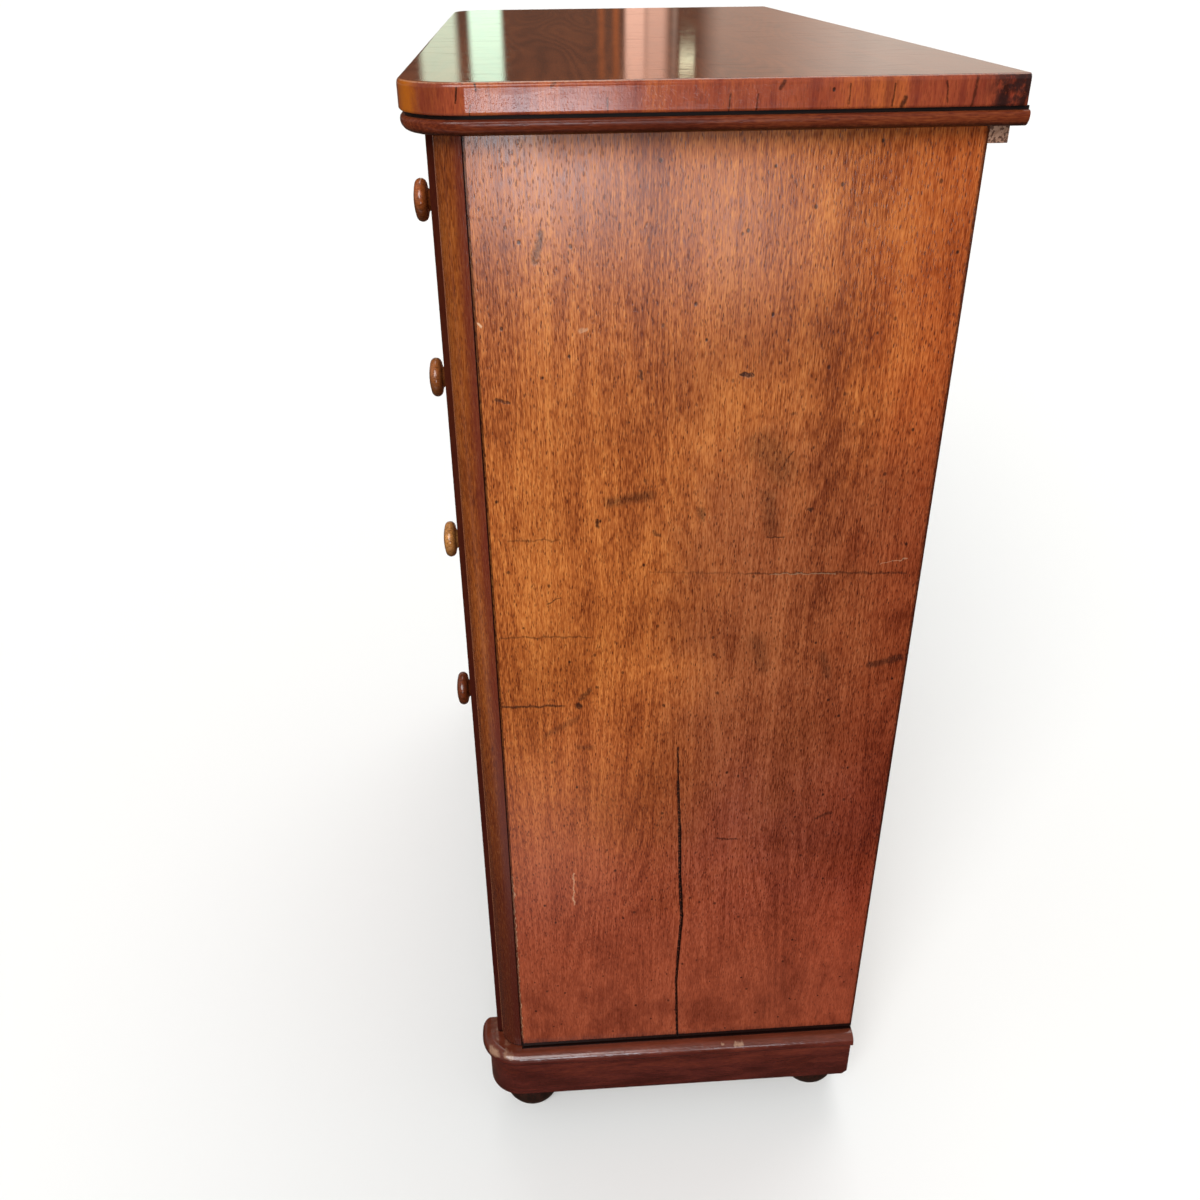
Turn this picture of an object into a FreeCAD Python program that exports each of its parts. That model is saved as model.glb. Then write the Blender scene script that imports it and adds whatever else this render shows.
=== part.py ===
import FreeCAD, Part
import math
import os

# Chest of drawers, two short drawers over four long ones, in millimetres.
# The front faces -Y, +X is the right-hand side and +Z is up. The origin is on the floor, in the middle of the
# box round the whole chest, from the knobs' tips to the back ends of the moulding.

Vector = FreeCAD.Vector

# Carcass
CARCASS_WIDTH = 1056.0
CARCASS_DEPTH = 461.0
PANEL_THICKNESS = 18.0
PANEL_GROOVE = 2.2
FOOT_QUIRK = 1.8
STILE_WIDTH = 58.0
STILE_DEPTH = 31.0
COLUMN_RADIUS = 25.0
COLUMN_FRONT_RECESS = 6.0
COLUMN_SIDE_RECESS = 1.0
HOUSING_DEPTH = 5.0

# Shrinkage split in the right side panel: distance from the panel's front edge, height above its foot
SPLIT_PATH = [(191, 474), (192, 427), (196, 357), (198, 284), (202, 219), (199, 140), (198, 103), (202, 0)]
SPLIT_WIDTH = 2.0
SPLIT_DEPTH = 5.0

# Drawer rows, from the top down, with the rails above, between and below them
TOP_RAIL_HEIGHT = 33.0
ROW_1_HEIGHT = 171.0
ROW_2_HEIGHT = 183.0
ROW_3_HEIGHT = 198.0
ROW_4_HEIGHT = 216.0
ROW_5_HEIGHT = 226.0
RAIL_HEIGHT = 18.0
BOTTOM_RAIL_HEIGHT = 15.0
RAIL_DEPTH = 60.0
DIVIDER_WIDTH = 24.0
DUST_BOARD_THICKNESS = 12.0
GUIDE_HEIGHT = 26.0
KICKER_WIDTH = 44.0

# Drawer stops, small blocks on the rails behind the drawer fronts
STOP_LENGTH = 36.0
STOP_DEPTH = 14.0
STOP_HEIGHT = 6.0
STOP_INSET = 90.0
STOP_CLEARANCE = 0.3

# Back
BACK_THICKNESS = 10.0
BACK_REBATE = 8.0
BACK_BOARD_COUNT = 5
BATTEN_HEIGHT = 30.5
BATTEN_DEPTH = 17.0

# Top board, and the fillet and moulding below its edge
TOP_THICKNESS = 24.0
TOP_SIDE_OVERHANG = 22.0
TOP_FRONT_OVERHANG = 20.0
TOP_BACK_OVERHANG = 19.0
TOP_CORNER_RADIUS = 56.0
TOP_UPPER_ROUND = 4.0
TOP_LOWER_ROUND = 2.5
FILLET_HEIGHT = 3.0
FILLET_SETBACK = 5.0
MOULDING_HEIGHT = 12.5
MOULDING_SETBACK = 0.5
MOULDING_UPPER_ROUND = 3.0
MOULDING_LOWER_ROUND = 8.5
MOULDING_BACK_REACH = 4.0

# Plinth
PLINTH_HEIGHT = 81.0
PLINTH_FRONT_PROJECTION = 12.5
PLINTH_SIDE_PROJECTION = 9.5
PLINTH_CORNER_WIDTH = 50.0
PLINTH_CORNER_RADIUS = 40.0
PLINTH_END_ROUND = 12.0
PLINTH_INSET = 20.0
PLINTH_BACK_THICKNESS = 22.0
PLINTH_BLOCK = 56.0
PLINTH_WORN_CORNER = 6.0
NOSING_HEIGHT = 16.5
NOSING_FRONT_PROJECTION = 21.0
NOSING_SIDE_PROJECTION = 18.0
NOSING_UPPER_ROUND = 12.0
NOSING_LOWER_ROUND = 4.0

# Turned feet
FOOT_HEIGHT = 53.0
FRONT_FOOT_INSET = 41.0
FRONT_FOOT_SIDE_INSET = 40.0
BACK_FOOT_INSET = 38.0
BACK_FOOT_SIDE_INSET = 45.0
FOOT_RIM_RADIUS = 26.0
FOOT_BULGE_RADIUS = 37.0
FOOT_BULGE_HEIGHT = 24.0
FOOT_NECK_RADIUS = 29.0
FOOT_COLLAR_RADIUS = 33.0
FOOT_COLLAR_HEIGHT = 7.0
FOOT_SPIGOT_RADIUS = 11.0
FOOT_SPIGOT_LENGTH = 30.0
SPIGOT_CLEARANCE = 0.1

# Drawers
FRONT_THICKNESS = 22.0
FRONT_ROUND = 1.2
FRONT_SIDE_GAP = 1.0
FRONT_TOP_GAP = 1.5
FRONT_LIFT = 0.5
RUNNING_CLEARANCE = 0.3
BACK_CLEARANCE = 9.0
SIDE_THICKNESS = 11.0
SIDE_DROP = 7.0
DRAWER_BACK_THICKNESS = 10.0
DRAWER_BACK_DROP = 8.0
BOTTOM_THICKNESS = 7.0
BOTTOM_RAISE = 11.0
BOTTOM_HOUSING = 5.0
TAIL_PITCH = 42.0
TAIL_WIDTH = 26.0
TAIL_FLARE = 3.0
TAIL_LAP = 6.0

# Turned knobs
KNOB_RADIUS = 22.0
KNOB_PROJECTION = 38.0
KNOB_RIM_DEPTH = 8.5
KNOB_EDGE_ROUND = 6.5
KNOB_THROAT_RADIUS = 12.0
KNOB_WAIST_RADIUS = 9.5
KNOB_WAIST_HEIGHT = 12.0
KNOB_BASE_RADIUS = 15.0
KNOB_BASE_DEPTH = 3.0
KNOB_SPIGOT_RADIUS = 7.0

# How far a cutting shape runs past the faces that it cuts
CUT_MARGIN = 1.0

# Levels and planes that follow from the sizes
ROW_HEIGHTS = [ROW_1_HEIGHT, ROW_2_HEIGHT, ROW_3_HEIGHT, ROW_4_HEIGHT, ROW_5_HEIGHT]
INNER_RAIL_COUNT = len(ROW_HEIGHTS) - 1
CARCASS_HEIGHT = TOP_RAIL_HEIGHT + sum(ROW_HEIGHTS) + RAIL_HEIGHT * INNER_RAIL_COUNT + BOTTOM_RAIL_HEIGHT
CARCASS_BASE = FOOT_HEIGHT + PLINTH_HEIGHT
CARCASS_TOP = CARCASS_BASE + CARCASS_HEIGHT
SIDE_X = CARCASS_WIDTH / 2
BAY_X = SIDE_X - STILE_WIDTH
PLINTH_CORNER_X = SIDE_X - PLINTH_CORNER_WIDTH
PANEL_INNER_X = SIDE_X - PANEL_THICKNESS
OVERALL_DEPTH = KNOB_PROJECTION + CARCASS_DEPTH + TOP_BACK_OVERHANG + MOULDING_BACK_REACH
FRONT_Y = KNOB_PROJECTION - OVERALL_DEPTH / 2
BACK_Y = FRONT_Y + CARCASS_DEPTH
TOP_BACK_Y = BACK_Y + TOP_BACK_OVERHANG
MOULDING_BACK_Y = TOP_BACK_Y + MOULDING_BACK_REACH
RAIL_BACK_Y = FRONT_Y + RAIL_DEPTH
BACK_BOARD_Y = BACK_Y - BACK_THICKNESS
FRONT_BOARD_BACK_Y = FRONT_Y + FRONT_THICKNESS
DRAWER_END_Y = BACK_BOARD_Y - BACK_CLEARANCE


def box(x0, x1, y0, y1, z0, z1):
    """Block between two corners."""
    return Part.makeBox(x1 - x0, y1 - y0, z1 - z0, Vector(x0, y0, z0))


def mirrored(shape):
    """The same piece on the other side of the chest."""
    return shape.mirror(Vector(0, 0, 0), Vector(1, 0, 0))


def pair(shape):
    """A right-hand piece and its left-hand mirror image."""
    return [shape, mirrored(shape)]


def turned(outline, base, direction):
    """Turned piece: outline edges in the radius-height plane, spun about +Z, then laid along a direction."""
    solid = Part.Face(Part.Wire(outline)).revolve(Vector(0, 0, 0), Vector(0, 0, 1), 360)
    solid.Placement = FreeCAD.Placement(base, FreeCAD.Rotation(Vector(0, 0, 1), direction))
    return solid


def line(start, end):
    """Edge from one radius-height point to another."""
    return Part.LineSegment(Vector(start[0], 0, start[1]), Vector(end[0], 0, end[1])).toShape()


def arc(start, middle, end):
    """Arc through three radius-height points."""
    points = [Vector(r, 0, h) for r, h in (start, middle, end)]
    return Part.Arc(*points).toShape()


def outlined(side, front, back_y, radius, z0, z1):
    """Slab that covers the carcass plan and stands out from it, with both front corners rounded."""
    x = SIDE_X + side
    y = FRONT_Y - front
    cut = radius * (1 - 0.5 ** 0.5)
    left_arc = Part.Arc(Vector(-x, y + radius, z0), Vector(-x + cut, y + cut, z0), Vector(-x + radius, y, z0))
    right_arc = Part.Arc(Vector(x - radius, y, z0), Vector(x - cut, y + cut, z0), Vector(x, y + radius, z0))
    edges = [
        Part.LineSegment(Vector(-x, back_y, z0), Vector(-x, y + radius, z0)),
        left_arc,
        Part.LineSegment(Vector(-x + radius, y, z0), Vector(x - radius, y, z0)),
        right_arc,
        Part.LineSegment(Vector(x, y + radius, z0), Vector(x, back_y, z0)),
        Part.LineSegment(Vector(x, back_y, z0), Vector(-x, back_y, z0)),
    ]
    wire = Part.Wire([edge.toShape() for edge in edges])
    return Part.Face(wire).extrude(Vector(0, 0, z1 - z0))


def rounded_edge(solid, radius, level, back_y):
    """Rounds the front and side edges of a slab at one level, and leaves its back edge square."""
    edges = []
    for edge in solid.Edges:
        bounds = edge.BoundBox
        flat = abs(bounds.ZMin - level) < 0.001 and abs(bounds.ZMax - level) < 0.001
        if flat and bounds.YMin < back_y - 0.001:
            edges.append(edge)
    return solid.makeFillet(radius, edges)


def row_levels():
    """Lower and upper level of each drawer row's opening, from the top row down."""
    levels = []
    upper = CARCASS_TOP - TOP_RAIL_HEIGHT
    for height in ROW_HEIGHTS:
        levels.append((upper - height, upper))
        upper -= height + RAIL_HEIGHT
    return levels


def side_runs(ring, corner_x, back_y):
    """Cuts a U-shaped border into its front run, a corner piece as deep as the stile and a side run."""
    far = CARCASS_WIDTH
    low = ring.BoundBox.ZMin - CUT_MARGIN
    high = ring.BoundBox.ZMax + CUT_MARGIN
    corner_y = FRONT_Y + STILE_DEPTH
    front = ring.common(box(-corner_x, corner_x, FRONT_Y - far, back_y, low, high))
    corner = ring.common(box(corner_x, far, FRONT_Y - far, corner_y, low, high))
    side = ring.common(box(corner_x, far, corner_y, back_y, low, high))
    return front, corner, side


# Top of the chest

def top_board():
    """Top board with rounded front corners and softened edges."""
    radius = TOP_CORNER_RADIUS
    upper = CARCASS_TOP + TOP_THICKNESS
    slab = outlined(TOP_SIDE_OVERHANG, TOP_FRONT_OVERHANG, TOP_BACK_Y, radius, CARCASS_TOP, upper)
    slab = rounded_edge(slab, TOP_UPPER_ROUND, upper, TOP_BACK_Y)
    return rounded_edge(slab, TOP_LOWER_ROUND, CARCASS_TOP, TOP_BACK_Y)


def carcass_plan(z0, z1):
    """Space between the borders round the top, for trimming them."""
    middle = box(-BAY_X, BAY_X, FRONT_Y, MOULDING_BACK_Y, z0, z1)
    rear = box(-SIDE_X, SIDE_X, FRONT_Y + STILE_DEPTH, MOULDING_BACK_Y, z0, z1)
    plan = middle.fuse(rear)
    for post in pair(stile_section(z0, z1)):
        plan = plan.fuse(post)
    return plan.removeSplitter()


def border(setback, z0, z1):
    """Slab set back from the top board's edge, before the carcass is taken out of it."""
    side = TOP_SIDE_OVERHANG - setback
    front = TOP_FRONT_OVERHANG - setback
    return outlined(side, front, MOULDING_BACK_Y, TOP_CORNER_RADIUS - setback, z0, z1)


def top_fillet():
    """Thin strip between the top board and the moulding: one front run with its corners and two side runs."""
    z0 = CARCASS_TOP - FILLET_HEIGHT
    ring = border(FILLET_SETBACK, z0, CARCASS_TOP).cut(carcass_plan(z0, CARCASS_TOP))
    front, corner, side = side_runs(ring, BAY_X, MOULDING_BACK_Y)
    return [front] + pair(corner) + pair(side)


def top_moulding():
    """Moulding below the fillet, a flattened half round: front run, corner piece and side run."""
    z1 = CARCASS_TOP - FILLET_HEIGHT
    z0 = z1 - MOULDING_HEIGHT
    slab = rounded_edge(border(MOULDING_SETBACK, z0, z1), MOULDING_LOWER_ROUND, z0, MOULDING_BACK_Y)
    slab = rounded_edge(slab, MOULDING_UPPER_ROUND, z1, MOULDING_BACK_Y)
    return side_runs(slab.cut(carcass_plan(z0, z1)), BAY_X, MOULDING_BACK_Y)


def rear_batten():
    """Batten under the top's overhang, behind the back boards."""
    return box(-SIDE_X, SIDE_X, BACK_Y, BACK_Y + BATTEN_DEPTH, CARCASS_TOP - BATTEN_HEIGHT, CARCASS_TOP)


# Carcass

def stile_section(z0, z1, inset=0.0):
    """Right front stile between two levels: a flat front with a quarter column set back beside it."""
    outer_x = SIDE_X - COLUMN_SIDE_RECESS - inset
    step_x = SIDE_X - COLUMN_SIDE_RECESS - COLUMN_RADIUS
    centre_y = FRONT_Y + COLUMN_FRONT_RECESS + COLUMN_RADIUS
    block = box(BAY_X, outer_x, FRONT_Y + inset, FRONT_Y + STILE_DEPTH, z0, z1)
    waste = box(step_x, SIDE_X, FRONT_Y - CUT_MARGIN, centre_y, z0, z1)
    column = Part.makeCylinder(COLUMN_RADIUS - inset, z1 - z0, Vector(step_x, centre_y, z0))
    return block.cut(waste.cut(column))


def stile():
    """Right front stile, with a narrow quirk round its foot."""
    quirk_top = CARCASS_BASE + FOOT_QUIRK
    foot_slice = stile_section(CARCASS_BASE, quirk_top, PANEL_GROOVE)
    return stile_section(quirk_top, CARCASS_TOP).fuse(foot_slice)


def shrinkage_split():
    """Tapering gap along the split's path, closed at its upper tip and widest at the panel's foot."""
    front_y = FRONT_Y + STILE_DEPTH
    length = SPLIT_PATH[0][1] - SPLIT_PATH[-1][1]
    near, far = [], []
    for offset, height in SPLIT_PATH[1:]:
        half = SPLIT_WIDTH / 2 * math.sqrt((SPLIT_PATH[0][1] - height) / length)
        near.append((front_y + offset - half, CARCASS_BASE + height))
        far.append((front_y + offset + half, CARCASS_BASE + height))
    tip = (front_y + SPLIT_PATH[0][0], CARCASS_BASE + SPLIT_PATH[0][1])
    corners = [tip] + near + far[::-1] + [tip]
    face = Part.Face(Part.makePolygon([Vector(SIDE_X - SPLIT_DEPTH, y, z) for y, z in corners]))
    return face.extrude(Vector(SPLIT_DEPTH + CUT_MARGIN, 0, 0))


def side_panel():
    """Side panel: grooved at its front edge and foot, housed for dust boards, rebated for the back."""
    front_y = FRONT_Y + STILE_DEPTH
    panel = box(PANEL_INNER_X, SIDE_X, front_y, BACK_Y, CARCASS_BASE, CARCASS_TOP)
    groove_x = SIDE_X - PANEL_GROOVE
    groove = box(groove_x, SIDE_X, front_y, front_y + PANEL_GROOVE, CARCASS_BASE, CARCASS_TOP)
    quirk = box(groove_x, SIDE_X, front_y, BACK_Y, CARCASS_BASE, CARCASS_BASE + FOOT_QUIRK)
    rebate_x = PANEL_INNER_X + BACK_REBATE
    rebate = box(PANEL_INNER_X, rebate_x, BACK_BOARD_Y, BACK_Y, CARCASS_BASE, CARCASS_TOP)
    panel = panel.cut(groove).cut(quirk).cut(rebate)
    for board in dust_boards():
        panel = panel.cut(board)
    return panel


def rail(z0, z1):
    """Front rail between the stiles."""
    return box(-BAY_X, BAY_X, FRONT_Y, RAIL_BACK_Y, z0, z1)


def rails():
    """Front rails, from the top down."""
    levels = row_levels()
    pieces = {"rail_top": rail(levels[0][1], CARCASS_TOP)}
    for number, (lower, upper) in enumerate(levels[:-1], start=1):
        pieces["rail_%d" % number] = rail(lower - RAIL_HEIGHT, lower)
    pieces["rail_bottom"] = rail(CARCASS_BASE, levels[-1][0])
    return pieces


def divider():
    """Short upright between the two top drawers."""
    lower, upper = row_levels()[0]
    return box(-DIVIDER_WIDTH / 2, DIVIDER_WIDTH / 2, FRONT_Y, RAIL_BACK_Y, lower, upper)


def dust_boards():
    """Boards behind the rails that the drawers run on; the lowest is the bottom of the chest."""
    x = PANEL_INNER_X + HOUSING_DEPTH
    boards = []
    for lower, upper in row_levels():
        boards.append(box(-x, x, RAIL_BACK_Y, BACK_BOARD_Y, lower - DUST_BOARD_THICKNESS, lower))
    return boards


def drawer_guides():
    """Strips that keep the drawers straight, kickers over the top row for open drawers, and the stops."""
    strips = []
    for lower, upper in row_levels():
        strips += pair(box(BAY_X, PANEL_INNER_X, RAIL_BACK_Y, BACK_BOARD_Y, lower, lower + GUIDE_HEIGHT))
    lower, upper = row_levels()[0]
    middle = DIVIDER_WIDTH / 2
    strips.append(box(-middle, middle, RAIL_BACK_Y, BACK_BOARD_Y, lower, lower + GUIDE_HEIGHT))
    inner = PANEL_INNER_X - KICKER_WIDTH
    strips += pair(box(inner, PANEL_INNER_X, RAIL_BACK_Y, BACK_BOARD_Y, upper, CARCASS_TOP))
    half = KICKER_WIDTH / 2
    strips.append(box(-half, half, RAIL_BACK_Y, BACK_BOARD_Y, upper, CARCASS_TOP))
    return strips + drawer_stops()


def back_boards():
    """Upright boards in the rebate, side by side."""
    x = PANEL_INNER_X + BACK_REBATE
    width = 2 * x / BACK_BOARD_COUNT
    boards = []
    for number in range(BACK_BOARD_COUNT):
        left = -x + number * width
        boards.append(box(left, left + width, BACK_BOARD_Y, BACK_Y, CARCASS_BASE, CARCASS_TOP))
    return boards


def drawer_stops():
    """Blocks on the rails that stop each drawer front flush with the stiles."""
    y0 = FRONT_BOARD_BACK_Y + STOP_CLEARANCE
    blocks = []
    for left, right, lower, upper in drawer_bays().values():
        for x in (left + STOP_INSET, right - STOP_INSET - STOP_LENGTH):
            blocks.append(box(x, x + STOP_LENGTH, y0, y0 + STOP_DEPTH, lower, lower + STOP_HEIGHT))
    return blocks


# Plinth and feet

def plinth_border():
    """Skirt and nosing as one hollow border, open at the back."""
    z1 = CARCASS_BASE
    z_nosing = z1 - NOSING_HEIGHT
    side, front = PLINTH_SIDE_PROJECTION, PLINTH_FRONT_PROJECTION
    skirt = outlined(side, front, BACK_Y, PLINTH_CORNER_RADIUS, FOOT_HEIGHT, z_nosing)
    nosing_radius = PLINTH_CORNER_RADIUS + NOSING_SIDE_PROJECTION - PLINTH_SIDE_PROJECTION
    nosing = outlined(NOSING_SIDE_PROJECTION, NOSING_FRONT_PROJECTION, BACK_Y, nosing_radius, z_nosing, z1)
    nosing = rounded_edge(nosing, NOSING_UPPER_ROUND, z1, BACK_Y)
    nosing = rounded_edge(nosing, NOSING_LOWER_ROUND, z_nosing, BACK_Y)
    x = SIDE_X - PLINTH_INSET
    hollow = box(-x, x, FRONT_Y + PLINTH_INSET, BACK_Y, FOOT_HEIGHT, z1)
    return skirt.fuse(nosing).cut(hollow)


def eased_end(corner, projection, z0, z1):
    """Rounds the upright edge where a corner piece ends beside the plinth's front board."""
    radius = min(PLINTH_END_ROUND, projection)
    y = FRONT_Y - projection
    x = PLINTH_CORNER_X
    waste = box(x - CUT_MARGIN, x + radius, y - CUT_MARGIN, y + radius, z0, z1)
    waste = waste.cut(Part.makeCylinder(radius, z1 - z0, Vector(x + radius, y + radius, z0)))
    return corner.cut(waste)


def plinth_corner(corner):
    """Corner base under a stile, with its inner end rounded on the nosing and on the skirt."""
    z_nosing = CARCASS_BASE - NOSING_HEIGHT
    corner = eased_end(corner, NOSING_FRONT_PROJECTION, z_nosing, CARCASS_BASE)
    return eased_end(corner, PLINTH_FRONT_PROJECTION, FOOT_HEIGHT, z_nosing)


def plinth_front():
    """Plain board between the two corner bases, in line with the drawer fronts."""
    x = PLINTH_CORNER_X
    return box(-x, x, FRONT_Y, FRONT_Y + PLINTH_INSET, FOOT_HEIGHT, CARCASS_BASE)


def worn_rear_corner(side):
    """Knocks the lower back corner off a plinth side."""
    low, back = FOOT_HEIGHT, BACK_Y
    leg = PLINTH_WORN_CORNER
    corners = [(back - leg, low), (back, low + leg), (back + leg, low), (back, low - leg), (back - leg, low)]
    face = Part.Face(Part.makePolygon([Vector(SIDE_X - PLINTH_INSET, y, z) for y, z in corners]))
    return side.cut(face.extrude(Vector(PLINTH_INSET + NOSING_SIDE_PROJECTION + CUT_MARGIN, 0, 0)))


def foot_places():
    """Centres of the four feet."""
    front_x = SIDE_X - FRONT_FOOT_SIDE_INSET
    back_x = SIDE_X - BACK_FOOT_SIDE_INSET
    front_y = FRONT_Y + FRONT_FOOT_INSET
    back_y = BACK_Y - BACK_FOOT_INSET
    return {
        "front_left": (-front_x, front_y),
        "front_right": (front_x, front_y),
        "back_left": (-back_x, back_y),
        "back_right": (back_x, back_y),
    }


def spigot_holes():
    """Holes for the feet's spigots."""
    radius = FOOT_SPIGOT_RADIUS + SPIGOT_CLEARANCE
    length = FOOT_SPIGOT_LENGTH + SPIGOT_CLEARANCE
    return [Part.makeCylinder(radius, length, Vector(x, y, FOOT_HEIGHT)) for x, y in foot_places().values()]


def plinth_frame():
    """Back rail of the plinth and the four corner blocks that hold the feet."""
    x = SIDE_X - PLINTH_INSET
    rail_y = BACK_Y - PLINTH_BACK_THICKNESS
    front_y = FRONT_Y + PLINTH_INSET
    pieces = [box(-x, x, rail_y, BACK_Y, FOOT_HEIGHT, CARCASS_BASE)]
    for y in (front_y, rail_y - PLINTH_BLOCK):
        pieces += pair(box(x - PLINTH_BLOCK, x, y, y + PLINTH_BLOCK, FOOT_HEIGHT, CARCASS_BASE))
    return pieces


def without_holes(solid):
    """Drills the spigot holes that run into a plinth piece."""
    for hole in spigot_holes():
        solid = solid.cut(hole)
    return solid


def foot(x, y):
    """Turned foot with a bulging body, a collar and a spigot."""
    collar = FOOT_HEIGHT - FOOT_COLLAR_HEIGHT
    tip = FOOT_HEIGHT + FOOT_SPIGOT_LENGTH
    outline = [
        line((0, 0), (FOOT_RIM_RADIUS, 0)),
        arc((FOOT_RIM_RADIUS, 0), (FOOT_BULGE_RADIUS, FOOT_BULGE_HEIGHT), (FOOT_NECK_RADIUS, collar)),
        line((FOOT_NECK_RADIUS, collar), (FOOT_COLLAR_RADIUS, collar)),
        line((FOOT_COLLAR_RADIUS, collar), (FOOT_COLLAR_RADIUS, FOOT_HEIGHT)),
        line((FOOT_COLLAR_RADIUS, FOOT_HEIGHT), (FOOT_SPIGOT_RADIUS, FOOT_HEIGHT)),
        line((FOOT_SPIGOT_RADIUS, FOOT_HEIGHT), (FOOT_SPIGOT_RADIUS, tip)),
        line((FOOT_SPIGOT_RADIUS, tip), (0, tip)),
        line((0, tip), (0, 0)),
    ]
    return turned(outline, Vector(x, y, 0), Vector(0, 0, 1))


# Drawers

def drawer_bays():
    """Opening of each drawer: left, right, lower and upper edge."""
    levels = row_levels()
    middle = DIVIDER_WIDTH / 2
    bays = {
        "drawer_1_left": (-BAY_X, -middle) + levels[0],
        "drawer_1_right": (middle, BAY_X) + levels[0],
    }
    for number, level in enumerate(levels[1:], start=2):
        bays["drawer_%d" % number] = (-BAY_X, BAY_X) + level
    return bays


def knob_places(name):
    """Where a drawer's knobs sit: each column lines up under the middle of a short drawer."""
    column = (DIVIDER_WIDTH / 2 + BAY_X) / 2
    columns = {"drawer_1_left": [-column], "drawer_1_right": [column]}
    return columns.get(name, [-column, column])


def fitted_knobs(name):
    """Knob places that still hold a knob: the lowest drawer has lost its right-hand one."""
    if name == "drawer_5":
        return knob_places(name)[:1]
    return knob_places(name)


def tails(x0, x1, shoulder, tip, z0, z1):
    """Dovetail tails across a side board's end, wider at the tip than at the shoulder."""
    count = max(2, int((z1 - z0) // TAIL_PITCH))
    pitch = (z1 - z0) / count
    solids = []
    for number in range(count):
        middle = z0 + (number + 0.5) * pitch
        narrow = TAIL_WIDTH / 2 - TAIL_FLARE
        wide = TAIL_WIDTH / 2
        lower = [(shoulder, middle - narrow), (tip, middle - wide)]
        corners = lower + [(tip, middle + wide), (shoulder, middle + narrow)]
        points = [Vector(x0, y, z) for y, z in corners]
        face = Part.Face(Part.makePolygon(points + points[:1]))
        solids.append(face.extrude(Vector(x1 - x0, 0, 0)))
    return solids


def knob(x, z):
    """Turned knob with a waisted neck, a flattened round head and a spigot through the drawer front."""
    tip = KNOB_PROJECTION
    rim = tip - KNOB_RIM_DEPTH
    edge = KNOB_EDGE_ROUND

    # The crown is an arc centred on the axis, tangent to the small arc that rounds the widest part.
    # The back of the head is the same arc mirrored, cut off where the neck meets it.
    edge_centre = KNOB_RADIUS - edge
    crown = (edge_centre ** 2 + KNOB_RIM_DEPTH ** 2 - edge ** 2) / (2 * (KNOB_RIM_DEPTH - edge))
    centre = tip - crown
    reach = crown / (crown - edge)
    joint = (edge_centre * reach, centre + (rim - centre) * reach)
    half_angle = math.atan2(joint[0], joint[1] - centre) / 2
    middle = (crown * math.sin(half_angle), centre + crown * math.cos(half_angle))
    back_joint = (joint[0], 2 * rim - joint[1])
    back_middle_radius = (joint[0] + KNOB_THROAT_RADIUS) / 2
    back_middle = (back_middle_radius, 2 * rim - centre - math.sqrt(crown ** 2 - back_middle_radius ** 2))
    throat = (KNOB_THROAT_RADIUS, 2 * rim - centre - math.sqrt(crown ** 2 - KNOB_THROAT_RADIUS ** 2))

    outline = [
        line((0, -FRONT_THICKNESS), (KNOB_SPIGOT_RADIUS, -FRONT_THICKNESS)),
        line((KNOB_SPIGOT_RADIUS, -FRONT_THICKNESS), (KNOB_SPIGOT_RADIUS, 0)),
        line((KNOB_SPIGOT_RADIUS, 0), (KNOB_BASE_RADIUS, 0)),
        line((KNOB_BASE_RADIUS, 0), (KNOB_BASE_RADIUS, KNOB_BASE_DEPTH)),
        arc((KNOB_BASE_RADIUS, KNOB_BASE_DEPTH), (KNOB_WAIST_RADIUS, KNOB_WAIST_HEIGHT), throat),
        arc(throat, back_middle, back_joint),
        arc(back_joint, (KNOB_RADIUS, rim), joint),
        arc(joint, middle, (0, tip)),
        line((0, tip), (0, -FRONT_THICKNESS)),
    ]
    return turned(outline, Vector(x, FRONT_Y, z), Vector(0, -1, 0))


def drawer_front(x0, x1, z0, z1, knob_centres):
    """Drawer front with a softened face and a hole for each knob."""
    front = box(x0, x1, FRONT_Y, FRONT_BOARD_BACK_Y, z0, z1)
    face_edges = [edge for edge in front.Edges if edge.BoundBox.YMax < FRONT_Y + 0.001]
    front = front.makeFillet(FRONT_ROUND, face_edges)
    radius = KNOB_SPIGOT_RADIUS + SPIGOT_CLEARANCE
    for x, z in knob_centres:
        hole = Part.makeCylinder(radius, FRONT_THICKNESS, Vector(x, FRONT_Y, z), Vector(0, 1, 0))
        front = front.cut(hole)
    return front


def drawer_bottom(x0, x1, floor):
    """Bottom board: reaches into the front and the sides, and runs out below the back."""
    housed = SIDE_THICKNESS - BOTTOM_HOUSING
    front_y = FRONT_BOARD_BACK_Y - BOTTOM_HOUSING
    return box(x0 + housed, x1 - housed, front_y, DRAWER_END_Y, floor, floor + BOTTOM_THICKNESS)


def back_pins(x0, x1, z0, z1):
    """Parts of the drawer back that fill the spaces between the rear tails of a side board."""
    back_y = DRAWER_END_Y - DRAWER_BACK_THICKNESS
    pins = box(x0, x1, back_y, DRAWER_END_Y, z0, z1)
    for tail in tails(x0, x1, back_y, DRAWER_END_Y, z0, z1):
        pins = pins.cut(tail)
    return pins


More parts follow.
